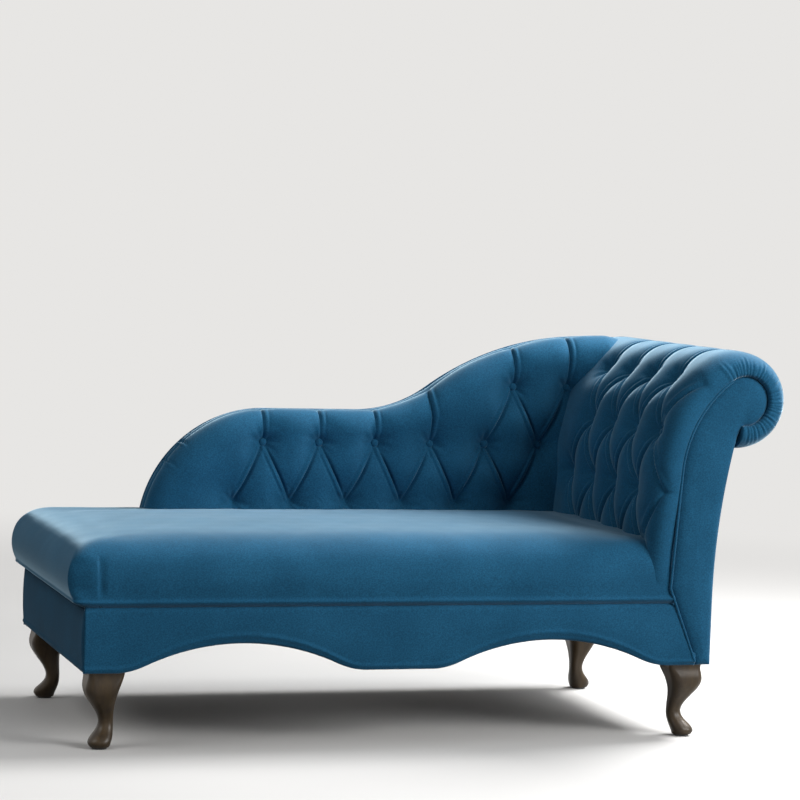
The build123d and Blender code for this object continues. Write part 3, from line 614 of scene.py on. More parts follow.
def blend_shaders(tree, share, first, second):
    """Mix of two shaders."""
    return add(tree, "ShaderNodeMixShader", {"Fac": share, 1: first, 2: second}).outputs["Shader"]


def seen_rays(tree):
    """1 for rays of the camera, of gloss and of glass, 0 for those that carry light about."""
    rays = tree.nodes.new("ShaderNodeLightPath")
    total = rays.outputs["Is Camera Ray"]
    for label in ("Is Glossy Ray", "Is Transmission Ray"):
        inputs = {0: total, 1: rays.outputs[label]}
        total = add(tree, "ShaderNodeMath", inputs, operation="ADD", use_clamp=True).outputs["Value"]
    return total


def object_place(tree):
    """Coordinates of the object."""
    return tree.nodes.new("ShaderNodeTexCoord").outputs["Object"]


def pile_group():
    """Cloth pile: patches that lie over, fine fibres and the height of the fibres."""
    name = "Cloth pile"
    if name in bpy.data.node_groups:
        return bpy.data.node_groups[name]
    group, start, end = new_group(
        name, "ShaderNodeTree",
        [("Deep", "Color", BLACK), ("Lying", "Color", WHITE),
         ("Patch size", "Float", 9.0), ("Fibre size", "Float", 900.0)],
        [("Colour", "Color"), ("Height", "Float")])
    place = object_place(group)
    patch = noise(group, place, start.outputs["Patch size"], 3.0, 0.55)
    fibre = noise(group, place, start.outputs["Fibre size"], 3.0, 0.7)
    lying = remap(group, patch, 0.32, 0.72)
    tint = mix(group, lying, start.outputs["Deep"], start.outputs["Lying"])
    speck = remap(group, fibre, 0.30, 0.70, 0.74, 1.22)
    speckled = add(group, "ShaderNodeVectorMath", {0: tint, "Scale": speck}, operation="SCALE")
    feed(group, end, {"Colour": speckled.outputs["Vector"], "Height": fibre})
    return group


def grain_group():
    """Wood grain along one axis: bands, and pores as its height."""
    name = "Wood grain"
    if name in bpy.data.node_groups:
        return bpy.data.node_groups[name]
    group, start, end = new_group(
        name, "ShaderNodeTree",
        [("Dark", "Color", BLACK), ("Light", "Color", WHITE), ("Stretch", "Vector", (1.0, 1.0, 1.0))],
        [("Colour", "Color"), ("Height", "Float")])
    inputs = {0: object_place(group), 1: start.outputs["Stretch"]}
    place = add(group, "ShaderNodeVectorMath", inputs, operation="MULTIPLY").outputs["Vector"]
    bands = noise(group, place, 38.0, 6.0, 0.62)
    pores = noise(group, place, 260.0, 2.0, 0.5)
    share = remap(group, bands, 0.34, 0.68)
    tint = mix(group, share, start.outputs["Dark"], start.outputs["Light"])
    feed(group, end, {"Colour": tint, "Height": pores})
    return group


def surface(name, group, tints, strength, distance, values):
    """Material whose colour and fine relief come from a node group; values go to its shader."""
    if name in bpy.data.materials:
        return bpy.data.materials[name]
    material = bpy.data.materials.new(name)
    material.use_nodes = True
    tree = material.node_tree
    source = add(tree, "ShaderNodeGroup", tints, node_tree=group)
    inputs = {"Strength": strength, "Distance": distance, "Height": source.outputs["Height"]}
    normal = add(tree, "ShaderNodeBump", inputs).outputs["Normal"]
    feed(tree, tree.nodes["Principled BSDF"],
         {"Base Color": source.outputs["Colour"], "Normal": normal, **values})
    return material


def shade(tint, factor=1.0):
    """An opaque colour, made lighter or darker."""
    return (*(min(1.0, part * factor) for part in tint), 1.0)


def cloth(name, deep, lying, sheen, weight, patch=9.0, fibre=330.0, roughness=0.85):
    """Cloth with a pile."""
    tints = {"Deep": deep, "Lying": lying, "Patch size": patch, "Fibre size": fibre}
    values = {"Roughness": roughness, "Specular IOR Level": 0.12, "Sheen Weight": weight,
              "Sheen Roughness": 0.34, "Sheen Tint": sheen}
    return surface(name, pile_group(), tints, 0.18, 0.0005, values)


def wood(name, dark, light, stretch, roughness, coat=0.0):
    """Wood with grain along the axis of the smallest stretch."""
    tints = {"Dark": dark, "Light": light, "Stretch": stretch}
    values = {"Roughness": roughness, "Coat Weight": coat, "Coat Roughness": 0.25, "Specular IOR Level": 0.32}
    return surface(name, grain_group(), tints, 0.12, 0.0004, values)


def velvet(finish):
    """The chaise's velvet."""
    return cloth("velvet pile", shade(finish.velvet), shade(finish.nap), shade(finish.sheen), 0.85)


def painted_shade_velvet(finish):
    """The same velvet made darker and given little sheen: painted shade for the foot apron."""
    deep, lying = shade(finish.velvet, 0.55), shade(finish.velvet, 0.7)
    return cloth("velvet pile down", deep, lying, shade(finish.sheen), 0.1)


def slot_material(slot, finish):
    """Material of a record slot."""
    if slot == "velvet":
        return velvet(finish)
    if slot == "leg_wood":
        return wood("leg stain", shade(finish.leg), shade(finish.leg_light), (1.0, 1.0, 0.16), 0.45, 0.10)
    name = slot + " finish"
    tint = getattr(finish, slot)
    if slot == "frame_wood":
        return wood(name, shade(tint, 0.7), shade(tint), (0.12, 1.0, 1.0), 0.6)
    if slot == "plywood":
        return wood(name, shade(tint, 0.78), shade(tint), (0.15, 1.0, 0.6), 0.65)
    if slot == "foam":
        return cloth(name, shade(tint, 0.86), shade(tint), WHITE, 0.1, 14.0, 420.0, 0.95)
    if slot in ("webbing", "dust_cloth"):
        return cloth(name, shade(tint, 0.8), shade(tint, 1.4), WHITE, 0.15, 30.0, 700.0, 0.9)
    tints = {"Deep": shade(tint, 0.8), "Lying": shade(tint), "Patch size": 60.0}
    values = {"Roughness": 0.38, "Metallic": 1.0 if slot == "steel" else 0.0}
    return surface(name, pile_group(), tints, 0.08, 0.0003, values)


# Geometry Nodes


def geometry_tree(name, inputs):
    """Geometry node tree with one mesh in, one out and named inputs."""
    sockets = [("Geometry", "Geometry", None)] + [(label, kind, None) for label, kind in inputs]
    return new_group(name, "GeometryNodeTree", sockets, [("Geometry", "Geometry")])


def smoothed(tree, geometry):
    """Geometry with smooth shading."""
    return add(tree, "GeometryNodeSetShadeSmooth", {"Geometry": geometry}).outputs["Geometry"]


def end_tree(tree, geometry, start, end):
    """Ends a tree with a real mesh in the material of its input."""
    real = add(tree, "GeometryNodeRealizeInstances", {"Geometry": geometry}).outputs["Geometry"]
    inputs = {"Geometry": real, "Material": start.outputs["Material"]}
    feed(tree, end, {"Geometry": add(tree, "GeometryNodeSetMaterial", inputs).outputs["Geometry"]})
    return tree


def button_tree():
    """Covered buttons on points, each along its point's stored direction."""
    name = "Covered buttons"
    if name in bpy.data.node_groups:
        return bpy.data.node_groups[name]
    inputs = [("Radius", "Float"), ("Height", "Float"), ("Material", "Material")]
    tree, start, end = geometry_tree(name, inputs)
    ball = add(tree, "GeometryNodeMeshUVSphere",
               {"Segments": 28, "Rings": 16, "Radius": start.outputs["Radius"]})
    size = add(tree, "ShaderNodeCombineXYZ", {"X": 1.0, "Y": 1.0, "Z": start.outputs["Height"]})
    flat = add(tree, "GeometryNodeTransform",
               {"Geometry": ball.outputs["Mesh"], "Scale": size.outputs["Vector"]})
    way = add(tree, "GeometryNodeInputNamedAttribute", {"Name": "outward"}, data_type="FLOAT_VECTOR")
    turn = add(tree, "FunctionNodeAlignRotationToVector", {"Vector": way.outputs["Attribute"]}, axis="Z")
    spread = add(tree, "GeometryNodeInstanceOnPoints",
                 {"Points": start.outputs["Geometry"], "Instance": smoothed(tree, flat.outputs["Geometry"]),
                  "Rotation": turn.outputs["Rotation"]})
    return end_tree(tree, spread.outputs["Instances"], start, end)


def cord_tree():
    """Round cord along the edges of a guide."""
    name = "Piping cord"
    if name in bpy.data.node_groups:
        return bpy.data.node_groups[name]
    tree, start, end = geometry_tree(name, [("Radius", "Float"), ("Material", "Material")])
    line = add(tree, "GeometryNodeMeshToCurve", {"Mesh": start.outputs["Geometry"]})
    ring = add(tree, "GeometryNodeCurvePrimitiveCircle",
               {"Resolution": 12, "Radius": start.outputs["Radius"]})
    tube = add(tree, "GeometryNodeCurveToMesh",
               {"Curve": line.outputs["Curve"], "Profile Curve": ring.outputs["Curve"], "Fill Caps": True})
    return end_tree(tree, smoothed(tree, tube.outputs["Mesh"]), start, end)


def baked(name, guide, tree, values):
    """Runs a node tree on a guide mesh and keeps the result as a plain mesh."""
    holder = bpy.data.objects.new(name, guide)
    bpy.context.scene.collection.objects.link(holder)
    modifier = holder.modifiers.new("nodes", "NODES")
    modifier.node_group = tree
    for item in tree.interface.items_tree:
        if item.in_out == "INPUT" and item.name in values:
            modifier[item.identifier] = values[item.name]
    depsgraph = bpy.context.evaluated_depsgraph_get()
    mesh = bpy.data.meshes.new_from_object(holder.evaluated_get(depsgraph))
    bpy.data.objects.remove(holder)
    bpy.data.meshes.remove(guide)
    mesh.name = name
    mesh.materials.clear()
    mesh.materials.append(values["Material"])
    piece = bpy.data.objects.new(name, mesh)
    bpy.context.scene.collection.objects.link(piece)
    return piece


def cord(name, points, radius, material):
    """Cord through points."""
    guide = bpy.data.meshes.new(name + " guide")
    edges = [(place, place + 1) for place in range(len(points) - 1)]
    guide.from_pydata(np.asarray(points).tolist(), edges, [])
    return baked(name, guide, cord_tree(), {"Radius": radius, "Material": material})


def buttons_piece(name, places, ways, tufts, material):
    """All the buttons of one pad, sunk a little into it."""
    guide = bpy.data.meshes.new(name + " guide")
    guide.from_pydata((places - ways * BUTTON_SINK).tolist(), [], [])
    attribute = guide.attributes.new("outward", "FLOAT_VECTOR", "POINT")
    attribute.data.foreach_set("vector", np.asarray(ways, np.float32).ravel())
    values = {"Radius": tufts.button_radius, "Height": BUTTON_HEIGHT, "Material": material}
    return baked(name, guide, button_tree(), values)


# Tufts


def diamonds(lower, upper, pitch, depth):
    """Pleats from each button of one row to its neighbours in the next."""
    return [(start, end, depth) for start in lower for end in upper if abs(start[0] - end[0]) < pitch]


def back_tufts(layout, tufts):
    """Dimples and buttons of the back, and pleats (start, end, depth) between and above them, on its face."""
    first = layout.left + tufts.first_button

    def row(number, shift, count):
        """Points of one row; shift is in pitches from the first button."""
        height = tufts.first_row + number * tufts.row
        return [np.array((first + (place + shift) * tufts.pitch, height)) for place in range(count)]

    low, middle, high = row(0, 0, 6), row(1, 0.5, 6), row(2, 5, 2)
    pleats = diamonds(middle, low, tufts.pitch, tufts.back_share)
    pleats += diamonds(high, middle, tufts.pitch, tufts.back_share)
    beyond_edge = np.array((0.0, 0.30))
    for start in middle[:4] + high:
        pleats.append((start, start + beyond_edge, 0.8 * tufts.back_share))
    return low + middle + high, middle + high, pleats


def head_tufts(layout, tufts):
    """Dimples and buttons of the head rest, and pleats (start, end, depth), in (y, run) of its face."""
    first = layout.frame_front + tufts.head_first_button
    runs = [tufts.head_first_row + place * tufts.head_row for place in range(4)]
    rows = []
    for place, run in enumerate(runs):
        shift = 0.5 * (place % 2)
        rows.append([np.array((first + (count + shift) * tufts.head_pitch, run)) for count in range(4)])
    pleats = []
    for lower, upper in zip(rows, rows[1:]):
        pleats += diamonds(lower, upper, tufts.head_pitch, tufts.pleat_share)
    for start in rows[3]:
        end = np.array((start[0], layout.end_run + 0.05))
        pleats.append((start, end, 0.85 * tufts.pleat_share))
    edge = first - 0.48 * tufts.head_pitch
    for run in (runs[1], runs[3]):
        for start in rows[0][:1] + rows[2][:1]:
            if abs(start[1] - run) < 1.1 * tufts.head_row:
                pleats.append((start, np.array((edge, run)), 0.8 * tufts.pleat_share))
    border = np.array((edge - 0.10, runs[1] + 0.004))
    pleats.append((np.array((edge, runs[1])), border, 0.4 * tufts.pleat_share))
    return sum(rows, []), sum(rows[1:], []), pleats


def back_edge(layout, tufts):
    """Top edge of the back, its inward directions, and the edge of the cloth laid flat."""
    edge = layout.back_top()
    way = inward(edge)
    return edge, way, edge - (QUARTER_EXTRA * tufts.back_rounding - EDGE_SPARE) * way


def back_face(points, layout, tufts):
    """Places, outward directions and turns of the back's flat cloth in the row frame."""
    edge, way, wide = back_edge(layout, tufts)
    rounding = tufts.back_rounding
    distance, along = along_line(points, wide)
    turn = np.clip(distance / rounding, 0.0, math.pi / 2)
    way = at_place(way, along)
    bent = at_place(edge, along) + (EDGE_SPARE + rounding * (1 - np.cos(turn)))[:, None] * way
    flat = turn >= math.pi / 2 - 1e-9
    place = np.where(flat[:, None], points, bent)
    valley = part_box("back_board")[0].y - BACK_VALLEY
    spots = joined(place[:, 0], valley + rounding * (1 - np.sin(turn)), place[:, 1])
    out = joined(-way[:, 0] * np.cos(turn), -np.sin(turn), -way[:, 1] * np.cos(turn))
    out[flat] = (0.0, -1.0, 0.0)
    return spots, out, turn


def head_face(points, layout, tufts):
    """Places and outward directions of the head's cloth, given as (y, run)."""
    line, out = layout.head(points[:, 1], tufts.valley)
    return joined(line[:, 0], points[:, 0], line[:, 1]), joined(out[:, 0], 0.0, out[:, 1])


# Panels


def close_behind(spots, faces, chain, rings):
    """Joins the rim of a sheet through rings of points, caps the last ring and returns all points."""
    before, size = list(chain), len(chain)
    for ring in rings:
        now = list(range(len(spots), len(spots) + size))
        spots = np.concatenate((spots, ring))
        for place in range(size):
            after = (place + 1) % size
            faces.append((before[place], now[place], now[after], before[after]))
        before = now
    faces.append(tuple(before))
    return spots


def panel(name, outline, front, rear, puff, rounding, drop, step, material, seed):
    """Padded upright panel over an outline in (x, z); front and rear are y of its two sides."""
    low, high = outline.min(0), outline.max(0)
    across, up = np.meshgrid(np.arange(low[0], high[0], step), np.arange(low[1], high[1], step))
    grid = joined(across.ravel(), up.ravel())
    grid[:, 0] += 0.5 * step * (np.arange(len(grid)) // across.shape[1] % 2)
    closed = np.concatenate((outline, outline[:1]))
    grid = grid[inside(grid, outline)]
    grid = grid[along_line(grid, closed)[0] > rounding + 0.3 * step]
    way = np.roll(outline, -1, axis=0) - np.roll(outline, 1, axis=0)
    way = joined(way[:, 1], -way[:, 0]) / np.linalg.norm(way, axis=1)[:, None]
    if not inside(outline[:1] + 0.001 * way[:1], outline)[0]:
        way = -way
    points = [grid]
    for share in (0.06, 0.18, 0.36, 0.62, 1.0):
        ring = outline + share * rounding * way
        points.append(ring[along_line(ring, closed)[0] > 0.97 * share * rounding])
    flat, faces = triangulate(outline, np.concatenate(points))
    gap = along_line(flat, closed)[0]
    share = np.clip(gap / rounding, 0.0, 1.0)
    edge = drop * np.sqrt(share * (2 - share)) - drop
    padding = puff * (1 - np.exp(-gap / 0.05))
    slack = (gap > rounding) * ripple(flat, seed, 8, 0.13) * 0.0005
    forward = -1.0 if front < rear else 1.0
    spots = joined(flat[:, 0], front + forward * (edge + (padding + slack)), flat[:, 1])
    chain = rim(faces)
    behind = joined(spots[chain, 0], rear, spots[chain, 2])
    return new_piece(name, close_behind(spots, faces, chain, [behind]), faces, material)


def bend(start, first, second, end, count):
    """Curve from start to end that leaves towards first and arrives from second."""
    share = np.linspace(0.0, 1.0, count)[:, None]
    back = 1 - share
    leaving = back ** 3 * start + 3 * back ** 2 * share * first
    return leaving + 3 * back * share ** 2 * second + share ** 3 * end


def dense(points, step):
    """Closed outline with a point at least every step."""
    result = []
    for start, end in zip(points, np.roll(points, -1, axis=0)):
        parts = max(1, int(math.ceil(np.linalg.norm(end - start) / step)))
        result += [start + (end - start) * part / parts for part in range(parts)]
    return np.array(result)


# Operators


def dressing(scene):
    """Shape settings, tuft settings, side view and velvet of a scene."""
    shape = scene.chaise_shape
    return shape, scene.chaise_tufts, Layout(shape), velvet(scene.chaise_finish)


def covers(piece, *nodes, fill=None):
    """The velvet piece rides on the body and stands for the CAD nodes, which it hides; fill is not used."""
    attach(piece, "root")
    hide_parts(*nodes)


class CHAISE_OT_seat(bpy.types.Operator):
    """Pads the seat: waterfall front, round foot end and a seam along the bottom"""

    bl_idname = "chaise.seat"
    bl_label = "Seat"

    def execute(self, context):
        shape, tufts, layout, material = dressing(context.scene)
        piece = new_piece("seat_upholstery", *self.skin(shape, tufts, layout), material)
        x, y, z = coordinates(piece.data).T
        off_seam = smoothstep(z, layout.seam + 0.012, layout.seam + 0.060)
        off_head = smoothstep(layout.face_x(z, 0.0) - x, 0.0, 0.08)
        off_back = smoothstep(0.27 - y, 0.0, 0.10)
        swell(piece, off_seam * (off_head * off_back), SEAT_PRESSURE, SEAT_SWELL)
        piece.data.vertices.foreach_set("co", self.dress(coordinates(piece.data), layout).ravel())
        piece.data.update()
        covers(piece, "seat_cover", "seat_foam", fill=0.9)
        return {"FINISHED"}

    def skin(self, shape, tufts, layout):
        """Points and faces of the seat, found on lines from a core inside it to a box around it."""
        step, margin = 0.007, 0.01
        core, core_end, core_rise = 0.10, 0.42, 0.05
        halvings, furthest = 40, 1.3
        head_end = float(layout.facing_edge(layout.seam)) + margin
        low = np.array((layout.tip - margin, layout.front - margin, layout.seam))
        high = np.array((head_end, layout.rear + margin, shape.seat_height + 2 * margin))
        core_low = np.array((layout.tip + core, layout.front + core, layout.seam))
        core_high = np.array((core_end, layout.rear - core, layout.seam + core_rise))
        ticks = [np.linspace(first, last, int(round((last - first) / step)) + 1)
                 for first, last in zip(low, high)]
        for axis, fine, reach, rest in ((0, 0.0024, 0.13, 0.134), (2, 0.0018, 0.026, 0.029)):
            coarse = ticks[axis][ticks[axis] > low[axis] + rest]
            ticks[axis] = np.concatenate((np.arange(low[axis], low[axis] + reach, fine), coarse))
        points, faces, count = [], [], 0
        for fixed, value in ((2, high[2]), (1, low[1]), (1, high[1]), (0, low[0]), (0, high[0])):
            first, second = [axis for axis in range(3) if axis != fixed]
            across, up = np.meshgrid(ticks[first], ticks[second])
            wall = np.empty(across.shape + (3,))
            wall[..., first] = across
            wall[..., second] = up
            wall[..., fixed] = value
            faces += grid_faces(*across.shape, count)
            points.append(wall.reshape(-1, 3))
            count += across.size
        points = np.concatenate(points)
        start = np.clip(points, core_low, core_high)
        near, far = np.zeros(len(points)), np.full(len(points), furthest)
        for _ in range(halvings):
            half = (near + far) / 2
            out = self.beyond(start + half[:, None] * (points - start), shape, layout, tufts) > 0
            far = np.where(out, half, far)
            near = np.where(out, near, half)
        spots = start + near[:, None] * (points - start)
        low_ring = np.where(points[:, 2] == low[2])[0]
        middle = spots[low_ring].mean(0)
        angle = np.arctan2(spots[low_ring, 1] - middle[1], spots[low_ring, 0] - middle[0])
        ring = low_ring[np.argsort(angle)]
        unique = [ring[0]]
        for place in ring[1:]:
            if np.linalg.norm(spots[place] - spots[unique[-1]]) > 1e-5:
                unique.append(place)
        faces.append(tuple(int(place) for place in unique))
        return spots, faces

    @staticmethod
    def beyond(spots, shape, layout, tufts):
        """Above zero outside the seat."""
        x, y, z = spots.T
        under_back = smoothstep(x, layout.back_left - 0.03, layout.back_left + 0.005)
        rear = layout.rear - BACK_STEP * under_back
        crown = shape.seat_crown * np.clip(1 - (y / layout.rear) ** 2, 0, 1)
        up = z - crown * smoothstep(x, layout.tip, layout.tip + CROWN_RUN)

        def corner(gap, radius):
            """Distance beyond a rounded top edge."""
            above = np.clip(up - shape.seat_height + radius, 0, None)
            return np.hypot(np.clip(radius - gap, 0, None), above) - radius

        side = np.maximum(corner(y - layout.front, shape.seat_front), corner(rear - y, shape.seat_rear))
        nose_x = layout.tip + shape.nose_radius
        nose_z = shape.seat_height - shape.nose_radius
        nose = np.hypot(np.clip(nose_x - x, 0, None), up - nose_z) - shape.nose_radius
        soft = 0.022
        body = np.maximum(side, nose) + np.clip(soft - np.abs(side - nose), 0, None) ** 2 / (4 * soft)
        start = layout.frame_front + tufts.head_first_button
        forward = np.clip((start - y) / (start - layout.front), 0.0, 1.0)
        inner = layout.face_x(z, HEAD_OVERLAP)
        outer = layout.facing_edge(z) + FACING_OVERLAP
        limit = inner + np.clip(1.15 * forward, 0.0, 1.0) * (outer - inner)
        return np.maximum(body, x - limit)

    @staticmethod
    def dress(spots, layout):
        """Draws the seam in, folds the front corner of the foot end and adds the slack of the cloth."""
        over = spots[:, 2] - layout.seam
        tuck = 0.0075 * np.clip(1 - over / 0.008, 0, 1) ** 2
        welt = 0.0042 * bump(over - 0.0110, 0.0042)
        near_edge = 0.03
        at_front = spots[:, 1] < layout.front + near_edge
        spots[at_front, 1] += (tuck - welt)[at_front]
        at_foot = spots[:, 0] < layout.left + near_edge
        spots[at_foot, 0] += (tuck - welt)[at_foot]
        along = spots[:, 0] - layout.left
        heights = smoothstep(over, 0.014, 0.040) * (1 - smoothstep(over, 0.088, 0.112))
        front = 1 - smoothstep(spots[:, 1], layout.front + 0.002, layout.front + 0.030)
        corner = 0.011 * smoothstep(0.024 - along, 0.0, 0.050)
        valley = 0.0050 * smoothstep(along, 0.0240, 0.0310) * (1 - smoothstep(along, 0.0315, 0.0480))
        spots[:, 1] += (corner + valley) * (heights * front)
        slack = ripple(spots, 11, 9, 0.18) * 0.0006 + ripple(spots, 12, 9, 0.06) * 0.0002
        top = smoothstep(over, 0.02, 0.06)
        spots[:, 2] += slack * top
        spots[at_front, 1] += (slack * (1 - top) * smoothstep(over, 0.0, 0.012))[at_front]
        return spots


class CHAISE_OT_aprons(bpy.types.Operator):
    """Covers the base: scalloped front apron and foot apron"""

    bl_idname = "chaise.aprons"
    bl_label = "Aprons"

    def execute(self, context):
        shape, _, layout, material = dressing(context.scene)
        hem_roll, least = 0.005, 0.030
        across = np.linspace(layout.left, layout.right - shape.facing_toe - 0.003, 460)
        rise = layout.hem + layout.scallop(across)
        heights = np.linspace(layout.hem, layout.seam, 60)
        seam = layout.seam - SEAM_GAP
        top = np.minimum(seam, np.interp(0.004 - across, -layout.facing_edge(heights), heights))
        loops = []
        for x, low, high in zip(across, rise, top):
            section = self.section(low, max(high, low + least), hem_roll + 0.08 * (low - layout.hem))
            loops.append(joined(x, layout.front - section[:, 0], section[:, 1]))
        covers(loop_solid("front_apron_cover", loops, material), "front_apron", fill=0.8)
        section = self.section(layout.hem, seam, hem_roll)
        loops = []
        for y in np.linspace(layout.front + CLEARANCE, layout.frame_rear, 180):
            turn = smoothstep(y, layout.front, layout.front + 0.012)
            loops.append(joined(layout.left - section[:, 0] * turn, y, section[:, 1]))
        # The foot apron gets a darker copy of the velvet with little sheen: painted shade.
        piece = loop_solid("foot_apron_cover", loops, painted_shade_velvet(context.scene.chaise_finish))
        covers(piece, "foot_apron", fill=0.8)
        return {"FINISHED"}

    @staticmethod
    def section(low, high, hem):
        """Section of an apron as (outward, height): padded face, rolled hem and flat rear."""
        rear = -0.0115
        upper, lower = 0.10, 0.72
        face = np.concatenate((np.linspace(0.0, upper, 7), np.linspace(upper, lower, 10)[1:],
                               np.linspace(lower, 1.0, 12)[1:]))
        height = high + (low + hem - high) * face
        padding = 0.0035 * np.sin(math.pi * face) ** 0.8
        tuck = 0.0060 * np.clip(1 - (high - height) / 0.008, 0, 1) ** 2
        welt = 0.0026 * bump(height - low - 1.9 * hem, 0.6 * hem)
        turn = np.linspace(0.0, math.pi, 11)[1:]
        roll = joined(-hem + hem * np.cos(turn), low + hem - hem * np.sin(turn))
        behind = np.array(((min(rear, -2 * hem - 0.001), low + hem + 0.002), (rear, high + 0.004)))
        return np.concatenate((joined(padding - tuck + welt, height), roll, behind))


class CHAISE_OT_back(bpy.types.Operator):
    """Tufts the back: diamonds over the seat and pleats up to the swept top edge"""

    bl_idname = "chaise.back"
    bl_label = "Back"

    def execute(self, context):
        shape, tufts, layout, material = dressing(context.scene)
        dimples, buttons, pleats = back_tufts(layout, tufts)
        edge, _, wide = back_edge(layout, tufts)
        into_head = 0.03
        head = layout.head(np.linspace(0.12, layout.roll_run + 0.06, 160), into_head)[0]
        outline = np.concatenate((wide, head[::-1]))
        creases = [(start, end) for start, end, _ in pleats if inside(np.array((end,)), outline)[0]]
        flat, faces = triangulate(outline, self.grid(outline, layout, tufts), creases)
        spots, out, turn = back_face(flat, layout, tufts)
        share, fold = relief(flat, dimples, pleats, tufts, tufts.back_dimple)
        least = 0.12
        fade = least + (1 - least) * np.sin(turn)
        head_end = edge[-1][0]
        fade *= 1 - 0.9 * smoothstep(flat[:, 0], head_end - 0.09, head_end - 0.01)
        height = tufts.crest * share * fade + fold * np.sin(turn)
        slack = ripple(flat, 21, 8, 0.11) * 0.0007
        height += slack + self.gathers(flat, shape, layout)
        spots = spots + out * height[:, None]
        chain = rim(faces)
        rings = self.edge_strip(spots[chain], edge, layout)
        piece = new_piece("tufted_back", close_behind(spots, faces, chain, rings), faces, material)
        spots = coordinates(piece.data)
        free = loose(spots[:, (0, 2)], dimples, pleats) * smoothstep(layout.rear - spots[:, 1], 0.03, 0.07)
        swell(piece, free, BACK_PRESSURE, BACK_SWELL)
        covers(piece, "back_pad", fill=0.85)
        places, ways, _ = back_face(np.array(buttons), layout, tufts)
        covers(buttons_piece("back_button_covers", places, ways, tufts, material), "back_buttons")
        return {"FINISHED"}

    @staticmethod
    def grid(outline, layout, tufts):
        """Points within the outline, on a grid that meets the buttons."""
        step = np.array((tufts.pitch / 2, tufts.row)) / tufts.cells
        origin = np.array((layout.left + tufts.first_button, tufts.first_row))
        low, high = outline.min(0), outline.max(0)
        counts = [np.arange(math.floor((first - zero) / pace), math.ceil((last - zero) / pace) + 1)
                  for first, last, zero, pace in zip(low, high, origin, step)]
        across, up = np.meshgrid(*counts)
        points = origin + joined(across.ravel(), up.ravel()) * step
        points = points[inside(points, outline)]
        return points[nearest(points, outline)[0] > 0.0022]

    @staticmethod
    def edge_strip(front, edge, layout):
        """Rings from the rim of the face to the frame's rear, bulging along the top edge."""
        ahead = np.roll(front, -6, axis=0) - np.roll(front, 6, axis=0)
        away = joined(ahead[:, 2], 0.0, -ahead[:, 0])
        away /= np.linalg.norm(away, axis=1)[:, None]
        if inside((front + 0.004 * away)[:, (0, 2)], front[:, (0, 2)]).mean() > 0.5:
            away = -away
        bulge = 0.005 * (1 - smoothstep(nearest(front[:, (0, 2)], edge)[0], 0.02, 0.04))
        rings = []
        for part in (0.2, 0.4, 0.6, 0.8, 1.0):
            ring = front + (math.sin(math.pi * part) * bulge)[:, None] * away
            ring[:, 1] += part * (layout.frame_rear - CLEARANCE - front[:, 1])
            rings.append(ring)
        return rings

    @staticmethod
    def gathers(points, shape, layout):
        """Two short gathers where the cloth goes round the shoulder."""
        off = points - np.array((layout.back_left + shape.shoulder, shape.back_low - shape.shoulder))
        reach = np.hypot(off[:, 0], off[:, 1])
        turn = np.arctan2(off[:, 1], off[:, 0])
        height = np.zeros(len(points))
        for degrees, run in ((144.0, 0.034), (133.0, 0.022)):
            aside = reach * (turn - math.radians(degrees))
            near = smoothstep(reach, shape.shoulder - run, shape.shoulder - 0.3 * run)
            ridge = 0.0022 * bump(aside - 0.006, 0.004)
            valley = 0.0036 * bump(aside, 0.0034)
            height += near * (ridge - valley)
        return height


